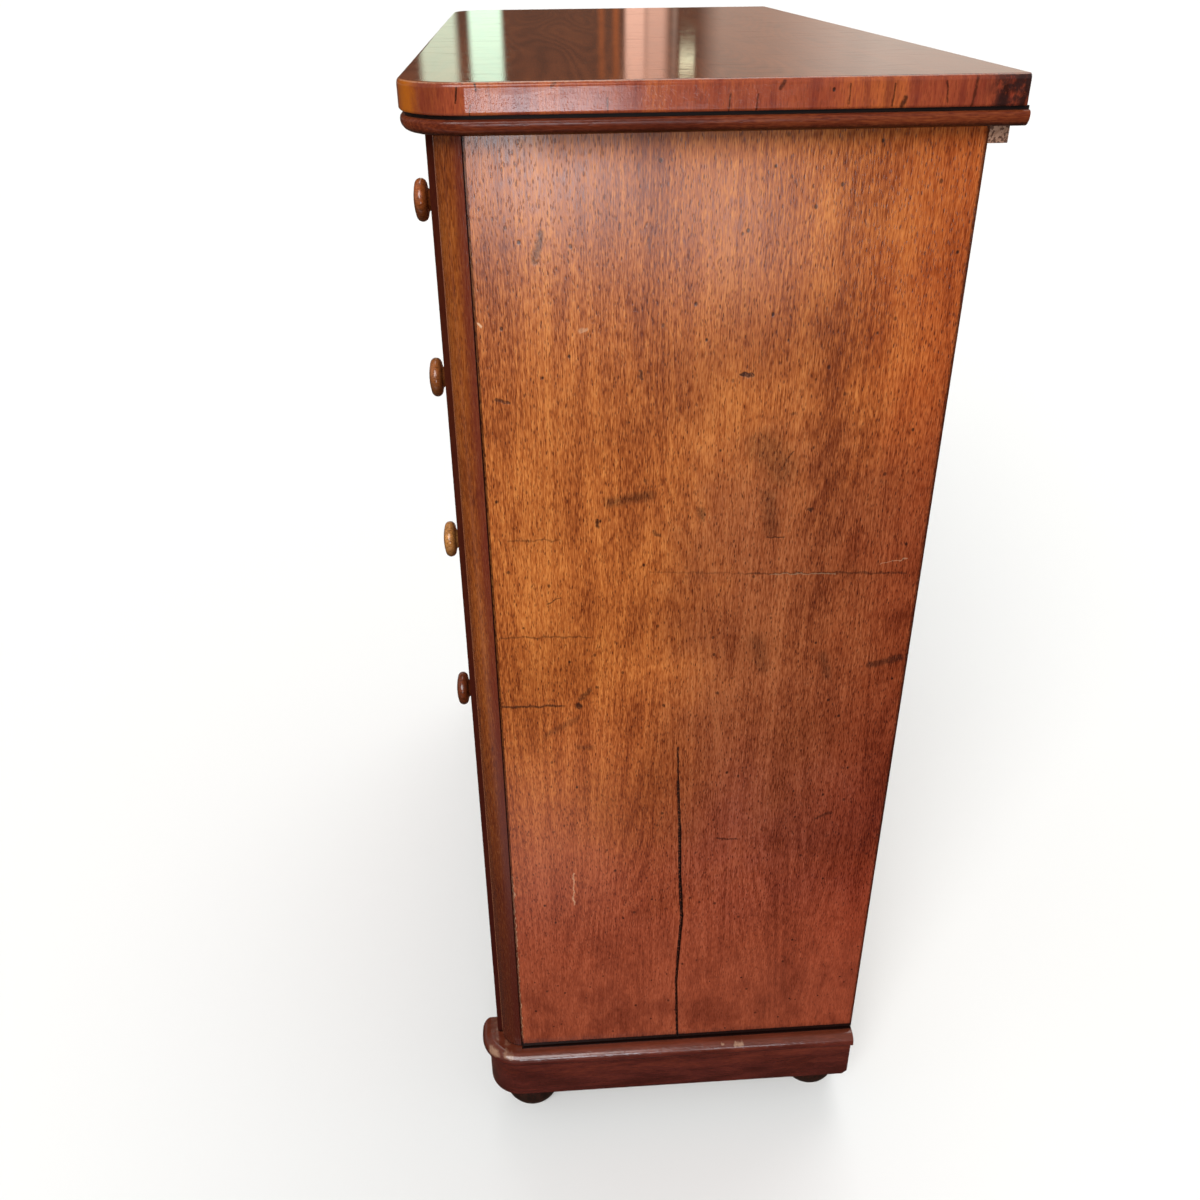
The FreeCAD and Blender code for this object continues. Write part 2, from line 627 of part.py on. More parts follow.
def drawer(name):
    """All pieces of one drawer, dovetailed at the four corners, with the bottom in grooves."""
    left, right, lower, upper = drawer_bays()[name]
    x0 = left + FRONT_SIDE_GAP
    x1 = right - FRONT_SIDE_GAP
    front_low = lower + FRONT_LIFT
    front_top = upper - FRONT_TOP_GAP
    side_top = front_top - SIDE_DROP
    back_low = lower + BOTTOM_RAISE + BOTTOM_THICKNESS
    back_top = side_top - DRAWER_BACK_DROP
    knob_z = (lower + upper) / 2
    bottom = drawer_bottom(x0, x1, lower + BOTTOM_RAISE)
    front = drawer_front(x0, x1, front_low, front_top, [(x, knob_z) for x in knob_places(name)])
    front = front.cut(bottom)
    back_y = DRAWER_END_Y - DRAWER_BACK_THICKNESS
    back = box(x0 + SIDE_THICKNESS, x1 - SIDE_THICKNESS, back_y, DRAWER_END_Y, back_low, back_top)
    sides = []
    for inner_x in (x0, x1 - SIDE_THICKNESS):
        outer_x = inner_x + SIDE_THICKNESS
        side = box(inner_x, outer_x, FRONT_BOARD_BACK_Y, DRAWER_END_Y, lower + RUNNING_CLEARANCE, side_top)
        for tail in tails(inner_x, outer_x, FRONT_BOARD_BACK_Y, FRONT_Y + TAIL_LAP, front_low, side_top):
            side = side.fuse(tail)
            front = front.cut(tail)
        pins = back_pins(inner_x, outer_x, back_low, back_top)
        back = back.fuse(pins)
        sides.append(side.cut(pins).cut(bottom).removeSplitter())
    knobs = [knob(x, knob_z) for x in fitted_knobs(name)]
    return {
        name + "_front": [front],
        name + "_sides": sides,
        name + "_back": [back.removeSplitter()],
        name + "_bottom": [bottom],
        name + ("_knobs" if len(knobs) > 1 else "_knob"): knobs,
    }


def all_pieces():
    """Every node's name with its solids."""
    pieces = {"top_board": [top_board()], "top_fillet": top_fillet()}
    front, corner, side = top_moulding()
    pieces["moulding_front"] = [front]
    pieces["moulding_corners"] = pair(corner)
    pieces["moulding_right"], pieces["moulding_left"] = ([piece] for piece in pair(side))
    pieces["rear_batten"] = [rear_batten()]
    pieces["stile_right"], pieces["stile_left"] = ([piece] for piece in pair(stile()))
    pieces["side_panel_right"] = [side_panel().cut(shrinkage_split())]
    pieces["side_panel_left"] = [mirrored(side_panel())]
    for name, solid in rails().items():
        pieces[name] = [solid]
    pieces["divider"] = [divider()]
    pieces["dust_boards"] = dust_boards()
    pieces["drawer_guides"] = drawer_guides()
    pieces["back_boards"] = back_boards()
    corner, side = side_runs(plinth_border(), PLINTH_CORNER_X, BACK_Y)[1:]
    pieces["plinth_front"] = [plinth_front()]
    pieces["plinth_corners"] = pair(without_holes(plinth_corner(corner)))
    side = worn_rear_corner(without_holes(side))
    pieces["plinth_right"], pieces["plinth_left"] = ([piece] for piece in pair(side))
    pieces["plinth_frame"] = [without_holes(solid) for solid in plinth_frame()]
    for name, (x, y) in foot_places().items():
        pieces["foot_" + name] = [foot(x, y)]
    for name in drawer_bays():
        pieces.update(drawer(name))
    return pieces


os.makedirs("parts", exist_ok=True)
for node, solids in all_pieces().items():
    solids = [solid for shape in solids for solid in shape.Solids]
    shape = solids[0] if len(solids) == 1 else Part.makeCompound(solids)
    shape.exportStep("parts/%s.step" % node)
    print("%-26s %d solid(s) %10.1f cm3" % (node, len(solids), shape.Volume / 1000))
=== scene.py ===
"""Looks of an old mahogany chest of drawers, two short drawers over four long ones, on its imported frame."""
import math
import random

import bmesh
import bpy
from bpy.props import FloatProperty, FloatVectorProperty, PointerProperty
from mathutils import Matrix, Vector


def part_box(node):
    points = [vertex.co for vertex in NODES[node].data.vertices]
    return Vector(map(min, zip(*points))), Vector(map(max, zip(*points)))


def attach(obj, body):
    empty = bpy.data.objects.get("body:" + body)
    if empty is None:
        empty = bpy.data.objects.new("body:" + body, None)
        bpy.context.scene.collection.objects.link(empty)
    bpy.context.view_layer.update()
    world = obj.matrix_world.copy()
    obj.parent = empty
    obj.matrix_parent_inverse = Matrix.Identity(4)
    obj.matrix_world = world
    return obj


bl_info = {
    "name": "Mahogany chest of drawers",
    "version": (1, 0, 0),
    "blender": (4, 5, 0),
    "location": "3D View > Sidebar > Chest",
    "description": "Polish, linings and fittings of an old mahogany chest of drawers",
    "category": "Object",
}

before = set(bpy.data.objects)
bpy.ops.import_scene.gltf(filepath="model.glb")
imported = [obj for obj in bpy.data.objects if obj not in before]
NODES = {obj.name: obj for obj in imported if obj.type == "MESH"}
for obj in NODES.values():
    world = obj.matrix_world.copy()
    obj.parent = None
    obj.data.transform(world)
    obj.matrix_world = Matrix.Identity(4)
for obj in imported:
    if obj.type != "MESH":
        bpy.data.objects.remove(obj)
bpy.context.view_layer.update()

MM = 0.001
WHITE = (1.0, 1.0, 1.0, 1.0)
BACK_BOARDS = 5
COLUMN_RECESS = 6.0
COLUMN_WIDTH = 26.0
DRAWERS = ["drawer_1_left", "drawer_1_right", "drawer_2", "drawer_3", "drawer_4", "drawer_5"]


def linear(code):
    """Linear colour with alpha from an sRGB hex value."""
    channels = [int(code[start:start + 2], 16) / 255 for start in (0, 2, 4)]
    curve = [c / 12.92 if c <= 0.04045 else ((c + 0.055) / 1.055) ** 2.4 for c in channels]
    return curve + [1.0]


def reach(name):
    """Lowest and highest corner of a CAD node, in millimetres."""
    return [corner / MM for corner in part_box(name)]


# Faces and edges that the finishes follow, in millimetres, and the knobs' distance from the middle, in metres
FRONT_FACE = reach("rail_top")[0].y
STILE_FACE = reach("stile_right")[1].x
TOP_LOW, TOP_HIGH = reach("top_board")
PLINTH_TOP = reach("plinth_right")[1].z
MOULDING_FOOT = reach("moulding_right")[0].z
PANEL_FACE = reach("side_panel_right")[1].x
PANEL_FRONT = reach("side_panel_right")[0].y
PANEL_BACK = reach("side_panel_right")[1].y
KNOB_COLUMN = sum(corner.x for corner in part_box("drawer_1_right_knob")) / 2
# The four runs of the moulding and of the plinth, with the way their grain goes
RUNS = (("front", "X"), ("corners", "Y"), ("left", "Y"), ("right", "Y"))


def colour(label, code, description):
    """Colour property with an sRGB hex value as its default."""
    return FloatVectorProperty(name=label, description=description, default=linear(code), size=4,
                               subtype="COLOR", min=0.0, max=1.0)


def size(label, millimetres, description):
    """Length property, given in millimetres."""
    return FloatProperty(name=label, description=description, default=millimetres * MM, min=0.0,
                         subtype="DISTANCE", unit="LENGTH")


def angle(label, radians, description):
    """Angle property."""
    return FloatProperty(name=label, description=description, default=radians, subtype="ANGLE",
                         unit="ROTATION")


def level(label, share, description):
    """Strength of a light, where 1 is white."""
    return FloatProperty(name=label, description=description, default=share, min=0.0)


def direction(label, default, description):
    """Direction towards a light."""
    return FloatVectorProperty(name=label, description=description, default=default, subtype="DIRECTION")


class ChestColours(bpy.types.PropertyGroup):
    """Colours of the finishes."""
    panel_light: colour("Panel, light figure", "C67838", "Lightest figure of the faded side panels")
    panel_middle: colour("Panel, middle figure", "A55824", "Usual colour of the faded side panels")
    panel_dark: colour("Panel, dark figure", "743310", "Darkest figure of the side panels")
    # The redder glaze also stands for painted shade that darkens the panels towards the floor
    panel_red_and_shade: colour("Panel, redder glaze", "CEAEEC", "Glaze of less faded polish near the floor")
    panel_rear: colour("Panel, rear glaze", "ECCEC6", "Glaze of less faded polish near the back")
    panel_shade: colour("Panel, deeper glaze", "D0C8F4", "Glaze of deeper polish off the front top corner")
    front_light: colour("Front, light figure", "A6592C", "Lightest flame figure of the drawer fronts")
    front_dark: colour("Front, dark figure", "4E1F10", "Darkest flame figure of the drawer fronts")
    top_light: colour("Top, light figure", "8A4B2A", "Lightest figure of the top board")
    top_dark: colour("Top, dark figure", "4A2415", "Darkest figure of the top board")
    edge_orange: colour("Edge, orange wood", "B9622C", "Lighter banding on the top board's edge")
    edge_red: colour("Edge, red wood", "72281C", "Redder banding on the top board's edge")
    moulding: colour("Moulding", "5E2614", "Moulding under the top")
    plinth_light: colour("Plinth, light", "642A1C", "Lighter wood of the plinth and its nosing")
    plinth_dark: colour("Plinth, dark", "35120D", "Darker wood of the plinth")
    stile_light: colour("Stile, light", "7A3A12", "Lighter wood of the stiles")
    stile_dark: colour("Stile, dark", "4A1A0B", "Darker wood of the stiles, near their edges")
    ebony: colour("Ebonised strip", "0E0A09", "Black strip under the top board")
    feet: colour("Turned feet", "1C100C", "Stained wood of the feet")
    # Dirt colour, also laid on as painted shade in joints, under the nosing, under the moulding and round the
    # knobs
    dirt_and_shade: colour("Dirt", "160806", "Old dirt and polish in joints and dents")
    pore: colour("Pores", "45190A", "Dark filling of the wood's pores")
    pine_light: colour("Pine, light", "C79C72", "Early wood of the pine linings")
    pine_dark: colour("Pine, dark", "9A6840", "Late wood of the pine linings")
    pine_grey: colour("Pine, aged", "745B45", "Dusty and oxidised pine")
    pine_knot: colour("Pine, knots", "5A3219", "Knots in the pine")
    batten_light: colour("Batten, light", "B98F78", "Bare wood of the batten behind the back")
    batten_dark: colour("Batten, dark", "4E3026", "Dark speckles of the batten's end grain")
    iron: colour("Iron", "1E1613", "Dark scale on the cut nails")
    rust: colour("Rust", "6A4028", "Rust on the cut nails")


class ChestSizes(bpy.types.PropertyGroup):
    """Real sizes of the wood's details."""
    pore_width: size("Pore width", 0.8, "Width of a pore line; real pores are thinner, too fine to show")
    pore_length: size("Pore length", 6.0, "Length of a pore line along the grain")
    fibre_width: size("Fibre width", 1.15, "Width of the fine streaks; real fibres are too fine to show")
    figure_width: size("Figure width", 46.0, "Width of the broad bands of figure")
    ring_spacing: size("Ring spacing", 7.0, "Distance between growth rings in mahogany")
    pine_ring_spacing: size("Pine ring spacing", 7.0, "Distance between growth rings in pine")
    eased_edge: size("Eased edge", 0.35, "Width of the wear along sawn and planed edges")
    nail_radius: size("Nail head radius", 3.2, "Radius of the nail heads in the back boards")
    nail_height: size("Nail head height", 0.8, "How far a nail head stands out")
    nail_inset: size("Nail inset", 16.0, "Distance from a back board's edge to its nails")


class ChestStage(bpy.types.PropertyGroup):
    """Camera, lamps and floor."""
    camera_place: FloatVectorProperty(name="Camera place", description="Where the camera stands",
                                      default=(1.49157, -0.14435, 1.36230), subtype="XYZ", unit="LENGTH")
    camera_yaw: angle("Yaw", -0.061158, "Turn of the view from the -X axis")
    camera_pitch: angle("Pitch", 0.529421, "How far the camera looks down")
    camera_roll: angle("Roll", -0.010355, "Turn of the camera about its view")
    lens: FloatProperty(name="Lens", description="Focal length in millimetres, 36 mm sensor", default=33.6525)
    key_level: level("Key level", 0.85, "Share of white that the key light alone gives")
    key_direction: direction("Key direction", (0.74, -0.26, 0.62), "Towards the key light")
    back_level: level("Back level", 0.30, "Share of white that the light from behind alone gives")
    back_direction: direction("Back direction", (-0.45, 0.15, 0.88), "Towards the light from behind")
    key_spread: angle("Key spread", math.radians(38), "Angle that each of these lights fills")
    window_power: FloatProperty(name="Low window", description="Power of the lamp that the side mirrors",
                                default=11.0, subtype="POWER", unit="POWER")
    sky_level: level("Sky level", 0.48, "Strength of the even light from all sides")
    card_level: level("Card level", 2.4, "Strength of the card that the top mirrors")
    floor: colour("Floor", "DEDEDC", "Pale studio floor")
    room: colour("Room card", "3B2A22", "Dark card that the polished top mirrors")
    window: colour("Window strip", "B2CBB4", "Bright strip that the polished top mirrors")
    curtain: colour("Curtain strip", "B48B79", "Pinkish strip that the polished top mirrors")
    wall: colour("Wall strip", "806C60", "Greyish strip that the polished top mirrors")
    cloth: colour("Dark cloth", "54443C", "Dark cloth that the upright faces mirror")


def add(tree, kind, inputs=None, stops=None, **settings):
    """Adds one shader node with its settings, and sets or links its inputs."""
    node = tree.nodes.new("ShaderNode" + kind)
    for name, value in settings.items():
        setattr(node, name, value)
    for name, value in (inputs or {}).items():
        if isinstance(name, int):
            socket = node.inputs[name]
        else:
            socket = next(s for s in node.inputs if s.enabled and s.name == name)
        if isinstance(value, bpy.types.Node):
            value = next(s for s in value.outputs if s.enabled)
        if isinstance(value, bpy.types.NodeSocket):
            tree.links.new(value, socket)
        else:
            socket.default_value = value
    for index, (place, tint) in enumerate(stops or []):
        elements = node.color_ramp.elements
        element = elements[index] if index < 2 else elements.new(place)
        element.position = place
        element.color = tint
    return node


def new_material(name):
    """Empty material and its node tree."""
    material = bpy.data.materials.new(name)
    material.use_nodes = True
    material.node_tree.nodes.clear()
    return material, material.node_tree


def surface(tree, tint, height, depth, strength, **values):
    """Ends a material with relief of a real depth in millimetres and values on the shader's own sockets."""
    bump = add(tree, "Bump", {"Height": height, "Strength": strength, "Distance": depth * MM})
    inputs = {"Base Color": tint, "Normal": bump}
    inputs.update({name.replace("_", " "): value for name, value in values.items()})
    add(tree, "OutputMaterial", {"Surface": add(tree, "BsdfPrincipled", inputs)})


def shared(tree, operation, shares):
    """Joins shares; one that is a tuple holds the axis, start, end, raggedness and mirroring of a zone."""
    shares = [zone(tree, *share) if isinstance(share, tuple) else share for share in shares]
    total = shares[0]
    for share in shares[1:]:
        total = add(tree, "Math", {0: total, 1: share}, operation=operation)
    return total


def overlap(tree, *shares):
    """Share of the places where all the shares meet; a plain number thins it out."""
    return shared(tree, "MULTIPLY", shares)


def either(tree, *shares):
    """Share of the places where any of the shares is."""
    return shared(tree, "MAXIMUM", shares)


def stain(tree, tint, *layers, blend="MIX"):
    """Lays colours over one another; each layer is a colour and the shares that limit it."""
    for over, *shares in layers:
        tint = add(tree, "Mix", {"Factor": overlap(tree, *shares), "A": tint, "B": over}, data_type="RGBA",
                   blend_type=blend)
    return tint


def new_wood(name, axis, shift, kind, *details, **more):
    """New material of one wood with its grain along an axis; kind is the function for mahogany or pine."""
    material, tree = new_material(name)
    return material, tree, kind(tree, grain_space(tree, axis, shift), *details, **more)


GRAIN_TURNS = {"X": (0.0, -math.pi / 2, 0.0), "Y": (math.pi / 2, 0.0, 0.0), "Z": (0.0, 0.0, 0.0)}


def grain_space(tree, axis, shift=(0.0, 0.0, 0.0)):
    """Object coordinates turned so that the grain runs along their Z axis."""
    place = add(tree, "TexCoord").outputs["Object"]
    return add(tree, "Mapping", {"Vector": place, "Rotation": GRAIN_TURNS[axis], "Location": shift})


def zone(tree, axis, start, end, ragged=0.0, mirrored=False):
    """Share along one axis: 0 up to start and 1 from end on, in millimetres, with a ragged border."""
    place = add(tree, "TexCoord").outputs["Object"]
    split = add(tree, "SeparateXYZ", {"Vector": place})
    along = split.outputs[axis]
    if mirrored:
        along = add(tree, "Math", {0: along}, operation="ABSOLUTE")
    if ragged:
        scale = min(400.0, 0.6 / (ragged * MM))
        noise = add(tree, "TexNoise", {"Vector": place, "Scale": scale, "Detail": 4.0, "Roughness": 0.65})
        shifted = add(tree, "Math", {0: noise, 1: 4 * ragged * MM, 2: -2 * ragged * MM},
                      operation="MULTIPLY_ADD")
        along = add(tree, "Math", {0: along, 1: shifted}, operation="ADD")
    return add(tree, "MapRange", {"Value": along, "From Min": start * MM, "From Max": end * MM},
               interpolation_type="SMOOTHSTEP")


def streaks(tree, space, across, along, detail=3.0, rough=0.6):
    """Noise drawn out along the grain; across and along are in millimetres."""
    stretched = add(tree, "Mapping", {"Vector": space, "Scale": (1000 / across, 1000 / across, 1000 / along)})
    return add(tree, "TexNoise", {"Vector": stretched, "Scale": 1.0, "Detail": detail, "Roughness": rough})


def patches(tree, space, across, along, start, end, most, detail=3.0, rough=0.6, least=0.0):
    """Soft patches: least where the drawn-out noise is under start, most where it is over end."""
    noise = streaks(tree, space, across, along, detail, rough)
    return add(tree, "MapRange", {"Value": noise, "From Min": start, "From Max": end, "To Min": least,
                                  "To Max": most})


def specks(tree, space, cell, width, share):
    """One mark in a share of the cells, each (across, along) in millimetres; width is a share of the cell."""
    scale = (1000 / cell[0], 1000 / cell[0], 1000 / cell[1])
    stretched = add(tree, "Mapping", {"Vector": space, "Scale": scale})
    spots = add(tree, "TexVoronoi", {"Vector": stretched, "Scale": 1.0})
    inside = add(tree, "MapRange", {"Value": spots.outputs["Distance"], "From Min": width,
                                    "From Max": 0.55 * width})
    pick = add(tree, "SeparateColor", {"Color": spots.outputs["Color"]})
    chosen = add(tree, "MapRange", {"Value": pick, "From Min": share, "From Max": 0.6 * share})
    return overlap(tree, inside, chosen)


def growth_rings(tree, space, spacing, arch):
    """Growth lines, as level lines of drawn-out noise, which arch as on a flat sawn board; in metres."""
    swell = streaks(tree, space, arch / MM, 11 * arch / MM, 1.5, 0.45)
    phase = add(tree, "Math", {0: swell, 1: 2 * math.pi * arch / (0.4 * spacing)}, operation="MULTIPLY")
    wave = add(tree, "Math", {0: phase}, operation="SINE")
    return add(tree, "Math", {0: wave, 1: 0.5, 2: 0.5}, operation="MULTIPLY_ADD")


def strokes(tree, table, ragged=1.2):
    """Marks on an upright side; a row is y0, z0, y1, z1, half width, softness (millimetres) and strength."""
    place = add(tree, "TexCoord").outputs["Object"]
    noise = add(tree, "TexNoise", {"Vector": place, "Scale": 140.0, "Detail": 3.0})
    offset = add(tree, "VectorMath", {0: noise.outputs["Color"], 1: (0.5, 0.5, 0.5)}, operation="SUBTRACT")
    offset = add(tree, "VectorMath", {0: offset, "Scale": 6 * ragged * MM}, operation="SCALE")
    place = add(tree, "VectorMath", {0: place, 1: offset}, operation="ADD")
    place = add(tree, "VectorMath", {0: place, 1: (0.0, 1.0, 1.0)}, operation="MULTIPLY")
    total = 0.0
    # Minimum and maximum nodes limit the values here, because clamps on so many rows overfill one material
    for y0, z0, y1, z1, half_width, softness, strength in table:
        start = Vector((0, y0, z0)) * MM
        run = Vector((0, y1, z1)) * MM - start
        fall = strength / (softness * MM)
        away = add(tree, "VectorMath", {0: place, 1: start}, operation="SUBTRACT")
        share = add(tree, "VectorMath", {0: away, 1: run / run.length_squared}, operation="DOT_PRODUCT")
        share = add(tree, "Math", {0: share.outputs["Value"], 1: 0.0}, operation="MAXIMUM")
        share = add(tree, "Math", {0: share, 1: 1.0}, operation="MINIMUM")
        nearest = add(tree, "VectorMath", {0: run, "Scale": share}, operation="SCALE")
        gap = add(tree, "VectorMath", {0: away, 1: nearest}, operation="DISTANCE").outputs["Value"]
        stroke = add(tree, "Math", {0: gap, 1: -fall, 2: strength + fall * half_width * MM},
                     operation="MULTIPLY_ADD")
        stroke = add(tree, "Math", {0: stroke, 1: strength}, operation="MINIMUM")
        total = add(tree, "Math", {0: total, 1: stroke}, operation="MAXIMUM")
    patchy = add(tree, "TexNoise", {"Vector": place, "Scale": 330.0, "Detail": 3.0, "Roughness": 0.7})
    patchy = add(tree, "MapRange", {"Value": patchy, "From Min": 0.36, "From Max": 0.50, "To Min": 0.55})
    return overlap(tree, total, patchy)


def mahogany(tree, space, dark, middle, light, arches=0.05, texture=1.0):
    """Mahogany: broad figure, faint growth arches, fine fibres, mottle and dense dashes of dark pores."""
    sizes = bpy.context.scene.chest_sizes
    pore_width, pore_length = sizes.pore_width / MM, sizes.pore_length / MM
    fibre_width = sizes.fibre_width / MM
    figure = streaks(tree, space, sizes.figure_width / MM, 700, 2.0)
    fibres = streaks(tree, space, fibre_width, 10, 2.0, 0.55)
    lines = streaks(tree, space, 2 * fibre_width, 70, 1.0, 0.5)
    mottle = streaks(tree, space, 42, 90, 2.0, 0.5)
    rings = growth_rings(tree, space, sizes.ring_spacing, 0.11)
    depth = 0.30 - 0.31 * texture - arches / 2
    for pattern, weight in ((figure, 0.26), (fibres, 0.50 * texture), (lines, 0.12 * texture), (mottle, 0.14),
                            (rings, arches)):
        depth = add(tree, "Math", {0: pattern, 1: weight, 2: depth}, operation="MULTIPLY_ADD")
    ramp = add(tree, "ValToRGB", {0: depth}, stops=[(0.39, dark), (0.62, light), (0.50, middle)])
    fine = specks(tree, space, (1.8 * pore_width, pore_length), 0.46, 0.70)
    coarse = specks(tree, space, (4.0 * pore_width, 1.8 * pore_length), 0.24, 0.40)
    pores = either(tree, fine, coarse)
    tint = stain(tree, ramp, (bpy.context.scene.chest_colours.pore, pores, 0.80 * texture))
    height = add(tree, "Math", {0: pores, 1: -1.2, 2: fibres}, operation="MULTIPLY_ADD")
    return {"tint": tint, "height": height, "fibres": fibres, "space": space}


def polished(tree, tint, wood, depth, strength, smooth, rough, gloss):
    """Ends a polished wood: relief of its pores, and a film that is smoother on some fibres than others."""
    film = add(tree, "MapRange", {"Value": wood["fibres"], "From Min": 0.3, "From Max": 0.7, "To Min": smooth,
                                  "To Max": rough})
    surface(tree, tint, wood["height"], depth, strength, Roughness=film, Specular_IOR_Level=gloss)


def pine(tree, space, light, dark, bands=0.6):
    """Pine: bands of late wood, a few knots, fine fibres and a little grime."""
    colours = bpy.context.scene.chest_colours
    rings = growth_rings(tree, space, bpy.context.scene.chest_sizes.pine_ring_spacing, 0.09)
    late = overlap(tree, add(tree, "Math", {0: rings, 1: 3.0}, operation="POWER"), bands)
    fibres = streaks(tree, space, 1.2, 60, 4.0, 0.7)
    depth = add(tree, "Math", {0: fibres, 1: 0.5, 2: late}, operation="MULTIPLY_ADD")
    tint = add(tree, "ValToRGB", {0: depth}, stops=[(0.15, light), (1.0, dark)])
    tint = stain(tree, tint, (colours.pine_knot, specks(tree, space, (210, 480), 0.055, 0.45)),
                 (colours.pine_grey, patches(tree, space, 70, 160, 0.42, 0.75, 0.55, 4.0)))
    return {"tint": tint, "height": fibres, "space": space}


def finish_node(name, material, eased=0.0):
    """Gives a CAD node its material, and eases its sawn edges where it has any."""
    part = NODES[name]
    for slot in part.material_slots:
        slot.material = material
    if eased:
        weld = part.modifiers.new("Joined corners", "WELD")
        weld.merge_threshold = 0.01 * MM
        flats = part.modifiers.new("Whole faces", "DECIMATE")
        flats.decimate_type = "DISSOLVE"
        flats.angle_limit = math.radians(0.1)
        edges = part.modifiers.new("Eased edges", "BEVEL")
        edges.width = eased
        edges.segments = 2
        edges.limit_method = "ANGLE"
        edges.angle_limit = math.radians(40)
        shading = part.modifiers.new("Flat faces", "WEIGHTED_NORMAL")
        shading.keep_sharp = True


# Shades of dirt, wear, glaze, painted highlights and painted shade that are laid over the main colours, and
# the figure of the plainer woods
SHADE = {name: linear(code) for name, code in {
    "panel haze": "B79C84", "panel foot": "8A432C", "blotch": "A88A86", "scratch": "E0B890",
    "grime": "5A3226", "core light": "A9714A", "core dark": "7F4C2E", "stile pale": "96521F",
    "stile rear": "5A2018", "stile foot": "3A130E", "step": "34120E", "wear and highlight line": "C07F5C",
    "top middle": "6E3820", "edge middle": "8F4227", "edge patch": "5E2019", "edge stain": "2A1614",
    "corner shade": "5E2417", "corner gold": "A65A14", "worn arris and highlight": "C79A76", "top scratch": "D0B090",
    "ebony grain": "2A1712", "moulding dark": "3C140C", "moulding light": "83401F", "ridge highlight": "A8705A",
    "rail dark": "3E180D", "rail middle": "642E18", "rail light": "8A4A26", "front middle": "7E3C20",
    "bare seat": "A5683A", "plinth middle": "4A1C17", "plinth cloud": "9A7870", "plinth sheen": "50260F",
    "nosing wear": "B08C70", "foot dark": "0C0706", "foot light": "3A2018", "foot scuffs": "5C4030",
    "back light": "B58A66", "back dark": "7C5336", "back shade": "C8B4A4", "dust": "8A7666",
    "batten middle": "9B7159", "floor unseen": "A8A8A6", "far strip": "A3AD98", "brown strip": "6A3A22",
    "grey strip": "968A80", "pane": "C8C4A4", "floor gap": "F4E6E4",
}.items()}

# Marks seen on the right side panel: y0, z0, y1, z1, half width, softness, strength
DARK_MARKS = [
    (-36, 827, 60, 821, 0.3, 1.0, 0.30), (60, 821, 222, 815, 0.5, 1.2, 0.55),
    (-189, 672, -126, 670, 0.7, 1.4, 0.75), (-187, 758, -96, 754, 0.4, 1.2, 0.50),
    (-172, 867, -123, 866, 0.4, 1.2, 0.45), (199, 705, 230, 712, 2.4, 3.0, 0.60),
    (46, 1027, 54, 1026, 1.4, 1.2, 0.85), (-132, 1155, -138, 1131, 1.6, 3.0, 0.60),
    (-75, 904, -37, 910, 1.4, 6.0, 0.55), (-88, 885, -87, 880, 1.2, 1.5, 0.80),
    (-47, 1032, -46, 1026, 0.9, 1.2, 0.70), (-176, 1010, -164, 1007, 0.8, 1.0, 0.70),
    (158, 497, 177, 504, 0.8, 2.0, 0.55), (70, 957, 88, 931, 6.0, 16.0, 0.35),
    (77, 906, 83, 868, 2.0, 9.0, 0.40), (79, 861, 95, 860, 0.5, 0.8, 0.75),
    (97, 951, 86, 929, 0.4, 0.9, 0.65), (12, 893, 14, 885, 1.5, 4.0, 0.50),
    (119, 889, 120, 889, 1.5, 2.0, 0.75), (-137, 796, -125, 802, 0.4, 0.8, 0.65),
    (-33, 872, -27, 867, 0.8, 1.5, 0.60), (-107, 677, -97, 689, 1.2, 2.5, 0.60),
    (-110, 670, -109, 669, 2.2, 2.0, 0.85), (76, 742, 84, 707, 2.0, 9.0, 0.32),
    (147, 720, 154, 693, 2.0, 5.0, 0.40), (-145, 632, -110, 654, 1.2, 4.0, 0.35),
    (-111, 614, -96, 614, 1.2, 3.0, 0.40), (45, 474, 69, 471, 0.5, 1.4, 0.65),
]
PALE_MARKS = [
    (-119, 432, -120, 381, 0.3, 0.9, 0.35), (-101, 1071, -95, 1072, 1.0, 1.5, 0.30),
    (-188, 1080, -187, 1076, 0.6, 0.8, 0.7), (-190.5, 430, -190.5, 150, 0.3, 0.7, 0.35),
    (85, 819.5, 150, 817, 0.3, 0.6, 0.30), (195, 826, 222, 831, 0.2, 0.5, 0.22),
]
# Dirt along both edges of the split, stains on the top board's edge, and wear on the plinth's nosing
SPLIT_EDGES = [
    (-2, 608, -1, 561, 0.6, 0.8, 0.9), (-1, 561, 3, 491, 1.1, 0.8, 0.95), (3, 491, 5, 418, 1.5, 0.8, 1.0),
    (5, 418, 9, 353, 1.7, 0.8, 1.0), (9, 353, 6, 274, 1.5, 0.8, 1.0), (6, 274, 5, 237, 1.2, 0.8, 1.0),
    (5, 237, 9, 134, 1.1, 0.8, 1.0),
]
EDGE_MARKS = [
    (-194, 1258, -193, 1268, 0.5, 0.5, 0.9), (-178, 1266, -179, 1272, 0.5, 0.5, 0.9),
    (-184, 1247, -183, 1256, 0.3, 0.5, 0.8), (100, 1262, 100, 1263, 0.9, 0.6, 0.9),
    (236, 1250, 238, 1262, 2.0, 3.0, 0.9), (244, 1262, 250, 1268, 2.5, 3.0, 0.8),
    (252, 1249, 256, 1270, 1.5, 2.5, 0.9), (18, 1249, 19, 1261, 0.4, 0.6, 0.7),
    (58, 1264, 61, 1269, 0.8, 1.2, 0.7), (113, 1252, 113, 1266, 0.4, 0.7, 0.6),
    (156, 1250, 158, 1256, 1.0, 1.4, 0.8), (-77, 1250, -77, 1259, 0.4, 0.7, 0.6),
    (192, 1252, 190, 1267, 0.4, 0.6, 0.7), (212, 1249, 214, 1270, 0.6, 1.2, 0.7),
    (-120, 1268, -117, 1271, 0.8, 0.8, 0.6), (40, 1249, 41, 1260, 0.4, 0.6, 0.7),
    (148, 1250, 149, 1266, 0.4, 0.6, 0.7),
]
